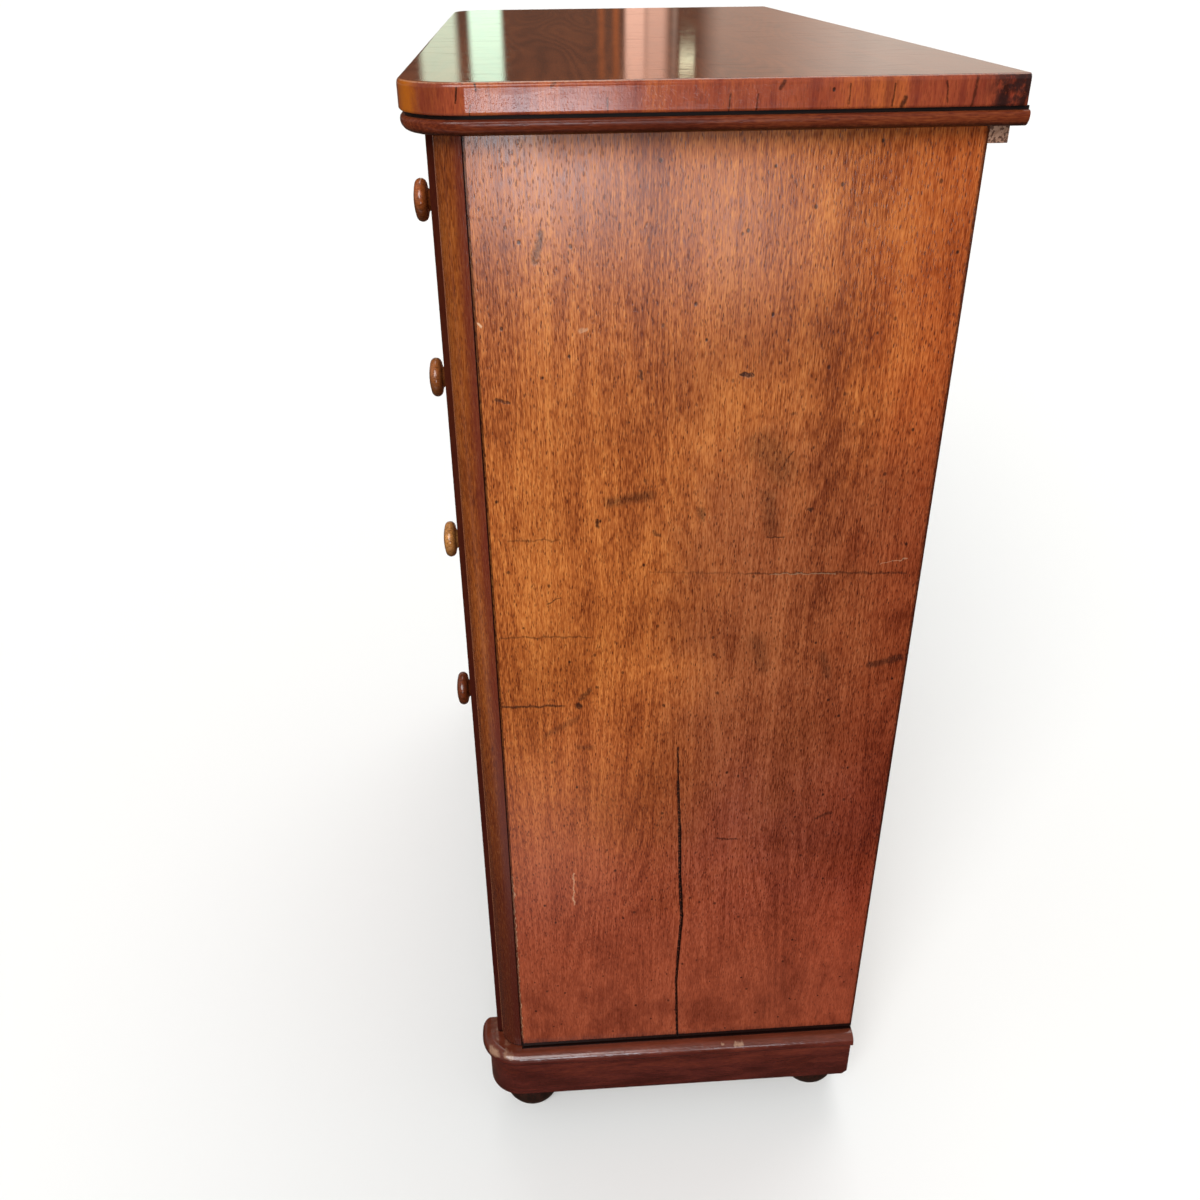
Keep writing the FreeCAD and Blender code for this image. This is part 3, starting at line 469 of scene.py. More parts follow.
NOSING_WEAR = [
    (-232, 128, -224, 130, 1.0, 3.0, 0.5), (-214, 131, -206, 131, 0.8, 2.5, 0.4),
    (84, 131, 92, 131, 1.0, 1.5, 0.5), (66, 132, 68, 132, 0.5, 0.8, 0.5),
]


class CHEST_OT_side_panels(bpy.types.Operator):
    """Finish both side panels: faded, dented mahogany with dirt and painted shade in the joints, and dirt in
    the split
    """
    bl_idname = "chest.side_panels"
    bl_label = "Side panels"

    def execute(self, context):
        for side in ("right", "left"):
            finish_node("side_panel_" + side, self.finish(context.scene.chest_colours, side))
        return {"FINISHED"}

    def finish(self, colours, side):
        """French polish faded by light: satin orange-brown above, redder near the floor and the back, with
        painted shade near the floor.
        """
        shift = (0.0, 0.0, 0.0) if side == "right" else (0.0, 0.9, 0.4)
        material, tree, wood = new_wood(
            "French-polished mahogany, faded, " + side + " panel", "Z", shift, mahogany, colours.panel_dark,
            colours.panel_middle, colours.panel_light)
        space = wood["space"]
        # The redder glaze towards the floor is partly painted shade
        tint = stain(
            tree, wood["tint"], (colours.panel_red_and_shade, ("Z", 760, 330, 60)),
            (colours.panel_rear, ("Y", 110, 235, 30)),
            (colours.panel_shade, ("Y", -80, 60, 30), ("Z", 1080, 860, 50), ("Z", 280, 520, 50)),
            (SHADE["panel haze"], patches(tree, space, 200, 200, 0.48, 0.70, 0.50)), blend="MULTIPLY")
        low = zone(tree, "Z", 420, 190, 40)
        tint = stain(tree, tint, (SHADE["panel foot"], low, 0.45))
        tint = stain(tree, tint, (SHADE["blotch"], patches(tree, space, 34, 60, 0.46, 0.64, 0.55), low),
                     blend="MULTIPLY")
        marks = either(tree, specks(tree, space, (20, 26), 0.10, 0.55),
                       overlap(tree, specks(tree, space, (11, 13), 0.12, 0.45), low),
                       specks(tree, grain_space(tree, "Y", (0.3, 0.1, 0.2)), (13, 34), 0.10, 0.28))
        if side == "right":
            marks = either(tree, marks, strokes(tree, DARK_MARKS), strokes(tree, SPLIT_EDGES, 0.35))
            tint = stain(tree, tint, (SHADE["scratch"], strokes(tree, PALE_MARKS)))
        near_stile = add(tree, "MapRange", {"Value": zone(tree, "Y", PANEL_FRONT - 0.4, PANEL_FRONT + 0.6),
                                            "To Min": 1.0, "To Max": 0.6})
        sunk = overlap(tree, ("X", PANEL_FACE - 0.2, PANEL_FACE - 1.2, 0, True), near_stile)
        core = pine(tree, space, SHADE["core light"], SHADE["core dark"])
        # The band under the moulding is grime and painted shade; the bands just above the plinth are dirt and
        # painted shade in the joint
        tint = stain(
            tree, tint, (colours.dirt_and_shade, marks),
            (SHADE["grime"], ("Z", MOULDING_FOOT - 3.5, MOULDING_FOOT + 1.5, 3), 0.5),
            (colours.dirt_and_shade, ("Z", PLINTH_TOP + 16, PLINTH_TOP + 2, 4), 0.5),
            (colours.dirt_and_shade, ("Z", PLINTH_TOP + 7.6, PLINTH_TOP + 6.2, 0.7)),
            (colours.dirt_and_shade, ("Y", PANEL_BACK - 4, PANEL_BACK - 1, 1), 0.8), (colours.dirt_and_shade, sunk),
            (core["tint"], ("X", PANEL_FACE - 16, PANEL_FACE - 16.5, 0, True)))
        wood["height"] = add(tree, "Math", {0: marks, 1: -1.5, 2: wood["height"]}, operation="MULTIPLY_ADD")
        shaded = overlap(tree, ("Z", MOULDING_FOOT - 32.5, MOULDING_FOOT - 0.5),
                         ("Y", PANEL_FRONT + 32, PANEL_FRONT + 82), 0.7)
        gloss = add(tree, "MapRange", {"Value": either(tree, sunk, shaded), "To Min": 0.38, "To Max": 0.0})
        polished(tree, tint, wood, 0.2, 0.22, 0.17, 0.27, gloss)
        return material


class CHEST_OT_stiles(bpy.types.Operator):
    """Finish the front stiles with their quarter columns"""
    bl_idname = "chest.stiles"
    bl_label = "Stiles"

    def execute(self, context):
        colours = context.scene.chest_colours
        # Polish over a turned quarter column: a warm sheen down its round, and painted shade in the step
        # beside it
        material, tree, wood = new_wood(
            "French-polished mahogany, moulded stile", "Z", (0.31, 0.17, 0.0), mahogany, colours.stile_dark,
            colours.stile_light, SHADE["stile pale"], 0.03, 0.8)
        column = FRONT_FACE + COLUMN_RECESS
        inner = STILE_FACE - COLUMN_WIDTH
        beside = zone(tree, "X", inner - 0.2, inner + 0.6, mirrored=True)
        step = overlap(tree, ("Y", column, column - 0.3), beside)
        groove = zone(tree, "Y", PANEL_FRONT - 1.2, PANEL_FRONT - 0.6)
        # The step gets painted shade, the pale line along the column's front is wear and a painted highlight,
        # and the band at the foot is dirt and painted shade in the joint with the plinth
        tint = stain(
            tree, wood["tint"], (SHADE["stile rear"], ("Y", PANEL_FRONT - 13, PANEL_FRONT - 4, 1.5), 0.75),
            (SHADE["stile foot"], ("Z", 900, 180, 50), 0.85), (SHADE["step"], step, 0.92),
            (SHADE["wear and highlight line"], ("Y", column + 1.5, column + 0.6, 0.4), ("Y", column - 0.3, column), beside,
             0.45),
            (colours.dirt_and_shade, groove), (colours.dirt_and_shade, ("Z", PLINTH_TOP + 5, PLINTH_TOP + 1, 1.5)))
        gloss = add(tree, "MapRange", {"Value": either(tree, groove, step), "To Min": 0.3, "To Max": 0.0})
        polished(tree, tint, wood, 0.12, 0.3, 0.20, 0.30, gloss)
        for side in ("right", "left"):
            finish_node("stile_" + side, material)
        return {"FINISHED"}


class CHEST_OT_top_board(bpy.types.Operator):
    """Finish the top board: mirror-like polish above, banded veneer round the edge"""
    bl_idname = "chest.top_board"
    bl_label = "Top board"

    def execute(self, context):
        colours = context.scene.chest_colours
        # Thick rubbed polish: a dark mirror seen along the board, over reddish banding on its edge
        material, tree, wood = new_wood(
            "French-polished mahogany, glossy top board", "X", (0.0, 0.4, 0.2), mahogany, colours.top_dark,
            SHADE["top middle"], colours.top_light, 0.08, 0.6)
        facing = add(tree, "SeparateXYZ", {"Vector": add(tree, "TexCoord").outputs["Normal"]})
        upward = add(tree, "MapRange", {"Value": facing.outputs["Z"], "From Min": 0.75, "From Max": 0.95})
        round_corner = zone(tree, "X", TOP_HIGH.x - 60, TOP_HIGH.x - 20, 4, True)
        golden = overlap(tree, ("Y", TOP_LOW.y + 24, TOP_LOW.y + 7, 3), round_corner)
        side_face = add(tree, "Math", {0: 1.0, 1: upward}, operation="SUBTRACT")
        near_front = add(tree, "MapRange", {"Value": zone(tree, "Y", -20, -120, 20), "To Min": 0.15,
                                            "To Max": 0.7})
        scratches = specks(tree, grain_space(tree, "Y", (0.1, 0.3, 0.0)), (26, 50), 0.05, 0.5)
        # The pale line along the top arris is wear and a painted highlight
        tint = stain(tree, self.banding(tree, colours, round_corner, golden), (wood["tint"], upward),
                     (SHADE["worn arris and highlight"], ("Z", TOP_HIGH.z - 1.4, TOP_HIGH.z - 0.4, 0.6), side_face,
                      near_front),
                     (SHADE["top scratch"], scratches, upward, 0.6))
        rubbed = streaks(tree, grain_space(tree, "Y", (0.4, 0.1, 0.2)), 9, 50, 4.0, 0.6)
        height = add(tree, "Math", {0: wood["height"], 1: 0.12, 2: overlap(tree, rubbed, 0.6)},
                     operation="MULTIPLY_ADD")
        lines = add(tree, "MapRange", {"Value": rubbed, "From Min": 0.52, "From Max": 0.68, "To Max": 0.08})
        rough = add(tree, "MapRange", {"Value": upward, "To Min": 0.13, "To Max": 0.06})
        rough = add(tree, "Math", {0: rough, 1: lines}, operation="ADD")
        gloss = add(tree, "MapRange", {"Value": upward, "To Min": 0.34, "To Max": 0.5})
        gloss = add(tree, "Math", {0: golden, 1: -0.25, 2: gloss}, operation="MULTIPLY_ADD")
        surface(tree, tint, height, 0.3, 0.4, Roughness=rough, Specular_IOR_Level=gloss)
        finish_node("top_board", material)
        return {"FINISHED"}

    def banding(self, tree, colours, round_corner, golden):
        """Upright banding on the edge: red and orange patches, shakes, stains and a golden front corner."""
        upright = grain_space(tree, "Z", (0.7, 0.2, 0.05))
        band = mahogany(tree, upright, colours.edge_red, SHADE["edge middle"], colours.edge_orange, 0.0, 0.35)
        broad = patches(tree, upright, 20, 200, 0.49, 0.62, 0.62, 5.0, 0.7)
        fine = patches(tree, upright, 9, 14, 0.40, 0.52, 0.85, 3.0, 0.7, least=0.1)
        return stain(
            tree, band["tint"], (SHADE["edge patch"], broad),
            (colours.dirt_and_shade, specks(tree, upright, (13, 120), 0.055, 0.5)),
            (colours.dirt_and_shade, strokes(tree, EDGE_MARKS, 0.4), ("X", TOP_HIGH.x - 20, TOP_HIGH.x - 10, 0, True)),
            (SHADE["edge stain"], fine, ("Y", TOP_HIGH.y - 39, TOP_HIGH.y - 21, 4)),
            (SHADE["corner shade"], ("Y", TOP_LOW.y + 43, TOP_LOW.y + 29, 2), round_corner, 0.6),
            (SHADE["corner gold"], golden, 0.95))


class CHEST_OT_top_mouldings(bpy.types.Operator):
    """Finish the black strip and the moulding under the top"""
    bl_idname = "chest.top_mouldings"
    bl_label = "Mouldings under the top"

    def execute(self, context):
        colours = context.scene.chest_colours
        # Stained wood under wax: a dull black line between two polished ones
        material, tree = new_material("Ebonised strip, wax-polished")
        fibres = streaks(tree, grain_space(tree, "Y"), 1.5, 60)
        tint = add(tree, "ValToRGB", {0: fibres}, stops=[(0.35, colours.ebony), (0.8, SHADE["ebony grain"])])
        surface(tree, tint, fibres, 0.1, 0.5, Roughness=0.45, Specular_IOR_Level=0.1)
        finish_node("top_fillet", material)
        for name, axis in RUNS:
            # Polished moulding in the top's shade: red-brown, darker below with painted shade, and a painted
            # highlight on its ridge
            material, tree, wood = new_wood(
                "French-polished mahogany, moulding " + name, axis, (0.12, 0.5, 0.3), mahogany,
                SHADE["moulding dark"], colours.moulding, SHADE["moulding light"], 0.03, 0.5)
            # Painted shade darkens the moulding's lower edge, and a painted highlight lights its upper ridge
            tint = stain(
                tree, wood["tint"], (colours.dirt_and_shade, ("Z", MOULDING_FOOT + 5.5, MOULDING_FOOT + 1, 1), 0.8),
                (SHADE["ridge highlight"], ("Z", MOULDING_FOOT + 12, MOULDING_FOOT + 13.5),
                 ("Z", MOULDING_FOOT + 15.3, MOULDING_FOOT + 14.5), 0.4))
            polished(tree, tint, wood, 0.1, 0.3, 0.16, 0.26, 0.18)
            finish_node("moulding_" + name, material)
        return {"FINISHED"}


class CHEST_OT_rails(bpy.types.Operator):
    """Finish the rails and the divider: mahogany faces on pine"""
    bl_idname = "chest.rails"
    bl_label = "Rails and divider"

    def execute(self, context):
        colours, sizes = context.scene.chest_colours, context.scene.chest_sizes
        for kind, axis in (("rail", "X"), ("divider", "Z")):
            # A thin polished face on a pale core: dark in front, plain pine where a drawer uncovers it
            material, tree, wood = new_wood(
                "Mahogany-faced pine " + kind, axis, (0.2, 0.1, 0.6), mahogany, SHADE["rail dark"],
                SHADE["rail middle"], SHADE["rail light"], texture=0.8)
            core = pine(tree, wood["space"], colours.pine_light, colours.pine_dark)
            tint = stain(tree, wood["tint"], (core["tint"], ("Y", FRONT_FACE + 3.5, FRONT_FACE + 4.0)))
            polished(tree, tint, wood, 0.12, 0.3, 0.26, 0.42, 0.45)
            for name in NODES:
                if name.startswith(kind):
                    finish_node(name, material, sizes.eased_edge)
        return {"FINISHED"}


class CHEST_OT_drawer_fronts(bpy.types.Operator):
    """Finish the drawer fronts: flame-figured veneer, dirt and painted shade round the knobs, a bare hole
    where one is lost
    """
    bl_idname = "chest.drawer_fronts"
    bl_label = "Drawer fronts"

    def execute(self, context):
        for number, name in enumerate(DRAWERS):
            finish_node(name + "_front", self.finish(context.scene.chest_colours, name, number))
        return {"FINISHED"}

    def finish(self, colours, name, number):
        """Flame veneer under polish on a pine board: glowing red-brown that changes from drawer to drawer."""
        shift = (0.37 * number, 0.21 * number, 0.11 * number)
        material, tree, wood = new_wood(
            "Flame mahogany veneer, " + name.replace("_", " "), "X", shift, mahogany, colours.front_dark,
            SHADE["front middle"], colours.front_light, 0.07, 0.7)
        low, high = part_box(name + "_front")
        tint = wood["tint"]
        for axis, start, end in (("X", low.x, high.x), ("Z", low.z, high.z)):
            for edge, inward in ((start / MM, 5), (end / MM, -5)):
                tint = stain(tree, tint, (colours.dirt_and_shade, (axis, edge + inward, edge, 1.2), 0.8))
        place = add(tree, "TexCoord").outputs["Object"]
        columns = {"drawer_1_left": (-KNOB_COLUMN,), "drawer_1_right": (KNOB_COLUMN,)}
        for x in columns.get(name, (-KNOB_COLUMN, KNOB_COLUMN)):
            middle = (x, low.y, (low.z + high.z) / 2)
            gap = add(tree, "VectorMath", {0: place, 1: middle}, operation="DISTANCE").outputs["Value"]
            # Dirt and painted shade in a ring round each knob; round the lost knob, its bare seat and its
            # hole
            rings = [(22, 15, 0.55, colours.dirt_and_shade)]
            if name == "drawer_5" and x > 0:
                rings += [(14.6, 13.8, 1.0, SHADE["bare seat"]), (8.2, 7.0, 1.0, colours.dirt_and_shade)]
            for outer, inner, strength, shade in rings:
                ring = add(tree, "MapRange", {"Value": gap, "From Min": outer * MM, "From Max": inner * MM,
                                              "To Max": strength})
                tint = stain(tree, tint, (shade, ring))
        core = pine(tree, wood["space"], colours.pine_light, colours.pine_dark)
        tint = stain(tree, tint, (core["tint"], ("Y", FRONT_FACE + 2.6, FRONT_FACE + 3.0)))
        polished(tree, tint, wood, 0.12, 0.3, 0.20, 0.32, 0.5)
        return material


class CHEST_OT_drawer_linings(bpy.types.Operator):
    """Finish the drawers' sides, backs and bottoms in aged pine"""
    bl_idname = "chest.drawer_linings"
    bl_label = "Drawer linings"

    def execute(self, context):
        colours, sizes = context.scene.chest_colours, context.scene.chest_sizes
        for number, (kind, axis) in enumerate((("sides", "Y"), ("back", "X"), ("bottom", "X"))):
            # Bare planed pine: matt honey brown that has darkened, with faint bands
            material, tree, wood = new_wood(
                "Planed pine, aged, drawer " + kind, axis, (0.3 * number, 0.2, 0.1), pine, colours.pine_light,
                colours.pine_dark)
            surface(tree, wood["tint"], wood["height"], 0.2, 0.4, Roughness=0.62, Specular_IOR_Level=0.3)
            for name in DRAWERS:
                finish_node(name + "_" + kind, material, sizes.eased_edge)
        return {"FINISHED"}


# Shade of each drawer's knobs, in the order of the drawers
KNOB_TINTS = ["8A4824", "A45628", "9C5A2C", "D8924E", "7E3C1E", "8A4822"]


class CHEST_OT_knobs(bpy.types.Operator):
    """Finish the turned knobs, each drawer's in its own shade"""
    bl_idname = "chest.knobs"
    bl_label = "Knobs"

    def execute(self, context):
        colours = context.scene.chest_colours
        for number, name in enumerate(DRAWERS):
            node = name + ("_knobs" if name + "_knobs" in NODES else "_knob")
            # Wood turned and rubbed by hands: small bright highlights on a warm, deep brown
            light = linear(KNOB_TINTS[number])
            shaded_tint, dark, middle = [[share * channel for channel in light[:3]] + [1.0]
                                  for share in (0.12, 0.35, 0.75)]
            material, tree, wood = new_wood(
                "Turned mahogany, polished, " + node.replace("_", " "), "Y", (0.1, 0.3 * number, 0.2),
                mahogany, dark, middle, light, 0.04, 0.8)
            low, high = reach(node)
            # Painted shade darkens the back and the bottom of each knob, and dirt and painted shade darken
            # its base by the drawer front
            away = either(tree, ("Z", high.z - 8, low.z + 8), ("Y", low.y + 6, low.y + 17))
            tint = stain(tree, wood["tint"], (shaded_tint, away, 0.6),
                         (colours.dirt_and_shade, ("Y", FRONT_FACE - 20, FRONT_FACE - 4, 1), 0.85))
            polished(tree, tint, wood, 0.08, 0.2, 0.10, 0.18, 0.5)
            finish_node(node, material)
        return {"FINISHED"}


class CHEST_OT_plinth(bpy.types.Operator):
    """Finish the plinth: dark skirt, worn nosing"""
    bl_idname = "chest.plinth"
    bl_label = "Plinth"

    def execute(self, context):
        colours = context.scene.chest_colours
        for name, axis in RUNS:
            # Dark polish that shoes and brooms have worn: red-black skirt, a rubbed nosing above it with
            # painted light on its top
            material, tree, wood = new_wood(
                "French-polished mahogany, worn plinth " + name, axis, (0.22, 0.1, 0.7), mahogany,
                colours.plinth_dark, SHADE["plinth middle"], colours.plinth_light, 0.04, 0.5)
            facing = add(tree, "SeparateXYZ", {"Vector": add(tree, "TexCoord").outputs["Normal"]})
            upper = add(tree, "MapRange", {"Value": facing.outputs["Z"], "From Min": 0.15, "From Max": 0.9,
                                           "To Max": 0.6})
            cloud = patches(tree, wood["space"], 22, 90, 0.42, 0.62, 0.5)
            tint = stain(tree, wood["tint"], (SHADE["plinth cloud"], cloud), blend="MULTIPLY")
            # Painted light: the faces that look up are made lighter
            tint = stain(tree, tint, (SHADE["plinth sheen"], upper), blend="ADD")
            if name in ("corners", "right"):
                tint = stain(tree, tint, (SHADE["nosing wear"], strokes(tree, NOSING_WEAR)))
            # Dirt specks, and painted shadow in a dark band under the nosing
            tint = stain(
                tree, tint, (colours.dirt_and_shade, specks(tree, wood["space"], (22, 60), 0.10, 0.4), 0.5),
                (colours.dirt_and_shade, ("Z", PLINTH_TOP - 18, PLINTH_TOP - 16),
                 ("Z", PLINTH_TOP - 13, PLINTH_TOP - 15)))
            # Dirt and painted shade in the joint where the nosing meets the side panel
            if name in ("left", "right"):
                tint = stain(tree, tint, (colours.dirt_and_shade, ("X", PANEL_FACE + 3.5, PANEL_FACE + 2, 0.4, True),
                                          ("Z", PLINTH_TOP - 6, PLINTH_TOP - 4)))
            polished(tree, tint, wood, 0.15, 0.35, 0.10, 0.20, 0.5)
            finish_node("plinth_" + name, material)
        return {"FINISHED"}


class CHEST_OT_feet(bpy.types.Operator):
    """Finish the turned feet"""
    bl_idname = "chest.feet"
    bl_label = "Feet"

    def execute(self, context):
        colours = context.scene.chest_colours
        # Black stain, dulled by dust: nearly black, with pale scuffs at the sole
        material, tree, wood = new_wood(
            "Black-stained turned beech", "Z", (0.1, 0.1, 0.0), mahogany, SHADE["foot dark"], colours.feet,
            SHADE["foot light"], texture=0.5)
        tint = stain(tree, wood["tint"], (SHADE["foot scuffs"], ("Z", 9, 2, 2), 0.45))
        polished(tree, tint, wood, 0.15, 0.4, 0.30, 0.45, 0.2)
        for name in NODES:
            if name.startswith("foot_"):
                finish_node(name, material)
        return {"FINISHED"}


class CHEST_OT_inner_frame(bpy.types.Operator):
    """Finish the dust boards, the guides, the plinth's inner frame, the back boards and the batten"""
    bl_idname = "chest.inner_frame"
    bl_label = "Inner frame and back"

    def execute(self, context):
        colours, sizes = context.scene.chest_colours, context.scene.chest_sizes
        frames = (("dust_boards", "X"), ("drawer_guides", "Y"), ("plinth_frame", "X"))
        for number, (name, axis) in enumerate(frames):
            # Bare sawn pine: dry, rough and matt, the colour of old crates
            material, tree, wood = new_wood(
                "Sawn pine, aged, " + name.replace("_", " "), axis, (0.2 * number, 0.4, 0.3), pine,
                colours.pine_light, colours.pine_dark)
            surface(tree, wood["tint"], wood["height"], 0.3, 0.5, Roughness=0.75, Specular_IOR_Level=0.2)
            finish_node(name, material, 2 * sizes.eased_edge)
        self.back_boards(colours, sizes)
        self.batten(colours, sizes)
        return {"FINISHED"}

    def back_boards(self, colours, sizes):
        """Dusty boards, each with its own grain and shade, and a dark joint between them."""
        material, tree = new_material("Sawn pine, dusty back boards")
        low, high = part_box("back_boards")
        split = add(tree, "SeparateXYZ", {"Vector": add(tree, "TexCoord").outputs["Object"]})
        place = add(tree, "MapRange", {"Value": split.outputs["X"], "From Min": low.x, "From Max": high.x,
                                       "To Max": BACK_BOARDS})
        board = add(tree, "Math", {0: place}, operation="FLOOR")
        shift = add(tree, "CombineXYZ", {"X": board, "Y": board, "Z": board})
        space = grain_space(tree, "Z", (0.6, 0.4, 0.3))
        space = add(tree, "VectorMath", {0: space, 1: shift}, operation="ADD")
        wood = pine(tree, space, SHADE["back light"], SHADE["back dark"], bands=0.34)
        shade = add(tree, "TexWhiteNoise", {"W": board}, noise_dimensions="1D").outputs["Value"]
        tint = stain(tree, wood["tint"], (SHADE["back shade"], shade, 0.5), blend="MULTIPLY")
        dust = patches(tree, space, 2000 / 7, 2000 / 7, 0.40, 0.66, 0.55, 4.0)
        inside = add(tree, "Math", {0: add(tree, "Math", {0: place}, operation="FRACT"), 1: 0.5},
                     operation="SUBTRACT")
        inside = add(tree, "Math", {0: inside}, operation="ABSOLUTE")
        share = MM * BACK_BOARDS / (high.x - low.x)
        joint = add(tree, "MapRange", {"Value": inside, "From Min": 0.5 - 1.6 * share,
                                       "From Max": 0.5 - 0.6 * share})
        tint = stain(tree, tint, (SHADE["dust"], dust), (colours.dirt_and_shade, joint))
        surface(tree, tint, wood["height"], 0.3, 0.5, Roughness=0.8, Specular_IOR_Level=0.2)
        finish_node("back_boards", material, 2 * sizes.eased_edge)

    def batten(self, colours, sizes):
        """Bare batten with speckled end grain: pinkish, dry and matt."""
        material, tree, wood = new_wood(
            "Raw sawn batten", "X", (0.05, 0.3, 0.2), pine, colours.batten_light, SHADE["batten middle"])
        dots = patches(tree, grain_space(tree, "Z"), 2.1, 2.1, 0.49, 0.56, 0.85, 1.0, 0.5)
        tint = stain(tree, wood["tint"],
                     (colours.batten_dark, dots, ("X", PANEL_FACE - 1.5, PANEL_FACE - 0.5, 0, True)))
        surface(tree, tint, wood["height"], 0.3, 0.6, Roughness=0.8, Specular_IOR_Level=0.2)
        finish_node("rear_batten", material, 2 * sizes.eased_edge)


class CHEST_OT_nails(bpy.types.Operator):
    """Put rows of nail heads into the back boards"""
    bl_idname = "chest.nails"
    bl_label = "Back nails"

    def execute(self, context):
        colours, sizes = context.scene.chest_colours, context.scene.chest_sizes
        low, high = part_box("back_boards")
        width = (high.x - low.x) / BACK_BOARDS
        levels = [low.z + 8 * MM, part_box("rail_top")[0].z - 10 * MM]
        levels += [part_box("rail_%d" % number)[0].z + 8 * MM for number in range(1, 5)]
        shape = bmesh.new()
        chance = random.Random(7)
        for board in range(BACK_BOARDS):
            start = low.x + board * width
            for x in (start + sizes.nail_inset, start + width - sizes.nail_inset):
                for z in levels:
                    centre = Vector((x + chance.uniform(-3, 3) * MM, high.y, z + chance.uniform(-2, 2) * MM))
                    self.nail_head(shape, centre, sizes)
        mesh = bpy.data.meshes.new("back_nails")
        shape.to_mesh(mesh)
        shape.free()
        nails = bpy.data.objects.new("back_nails", mesh)
        context.scene.collection.objects.link(nails)
        # Hand-cut iron, rusted: dark brown specks that hardly shine
        material, tree = new_material("Wrought iron, rusted")
        place = add(tree, "TexCoord").outputs["Object"]
        rust = add(tree, "TexNoise", {"Vector": place, "Scale": 900.0, "Detail": 4.0})
        tint = add(tree, "ValToRGB", {0: rust}, stops=[(0.35, colours.iron), (0.65, colours.rust)])
        surface(tree, tint, rust, 0.2, 0.6, Roughness=0.7, Metallic=0.6)
        mesh.materials.append(material)
        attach(nails, "carcass")
        return {"FINISHED"}

    def nail_head(self, shape, centre, sizes):
        """Low dome of three rings, just sunk into the board."""
        steps = 10
        rings = []
        for share, rise in ((1.0, -0.3), (0.95, 0.55), (0.6, 0.9)):
            radius = sizes.nail_radius * share
            turns = [2 * math.pi * step / steps for step in range(steps)]
            rings.append([shape.verts.new(centre + Vector((radius * math.cos(turn), sizes.nail_height * rise,
                                                           radius * math.sin(turn)))) for turn in turns])
        crown = shape.verts.new(centre + Vector((0, sizes.nail_height, 0)))
        for step in range(steps):
            after = (step + 1) % steps
            for lower, upper in zip(rings, rings[1:]):
                shape.faces.new((lower[after], lower[step], upper[step], upper[after])).smooth = True
            shape.faces.new((rings[-1][after], rings[-1][step], crown)).smooth = True
        shape.faces.new(rings[0])


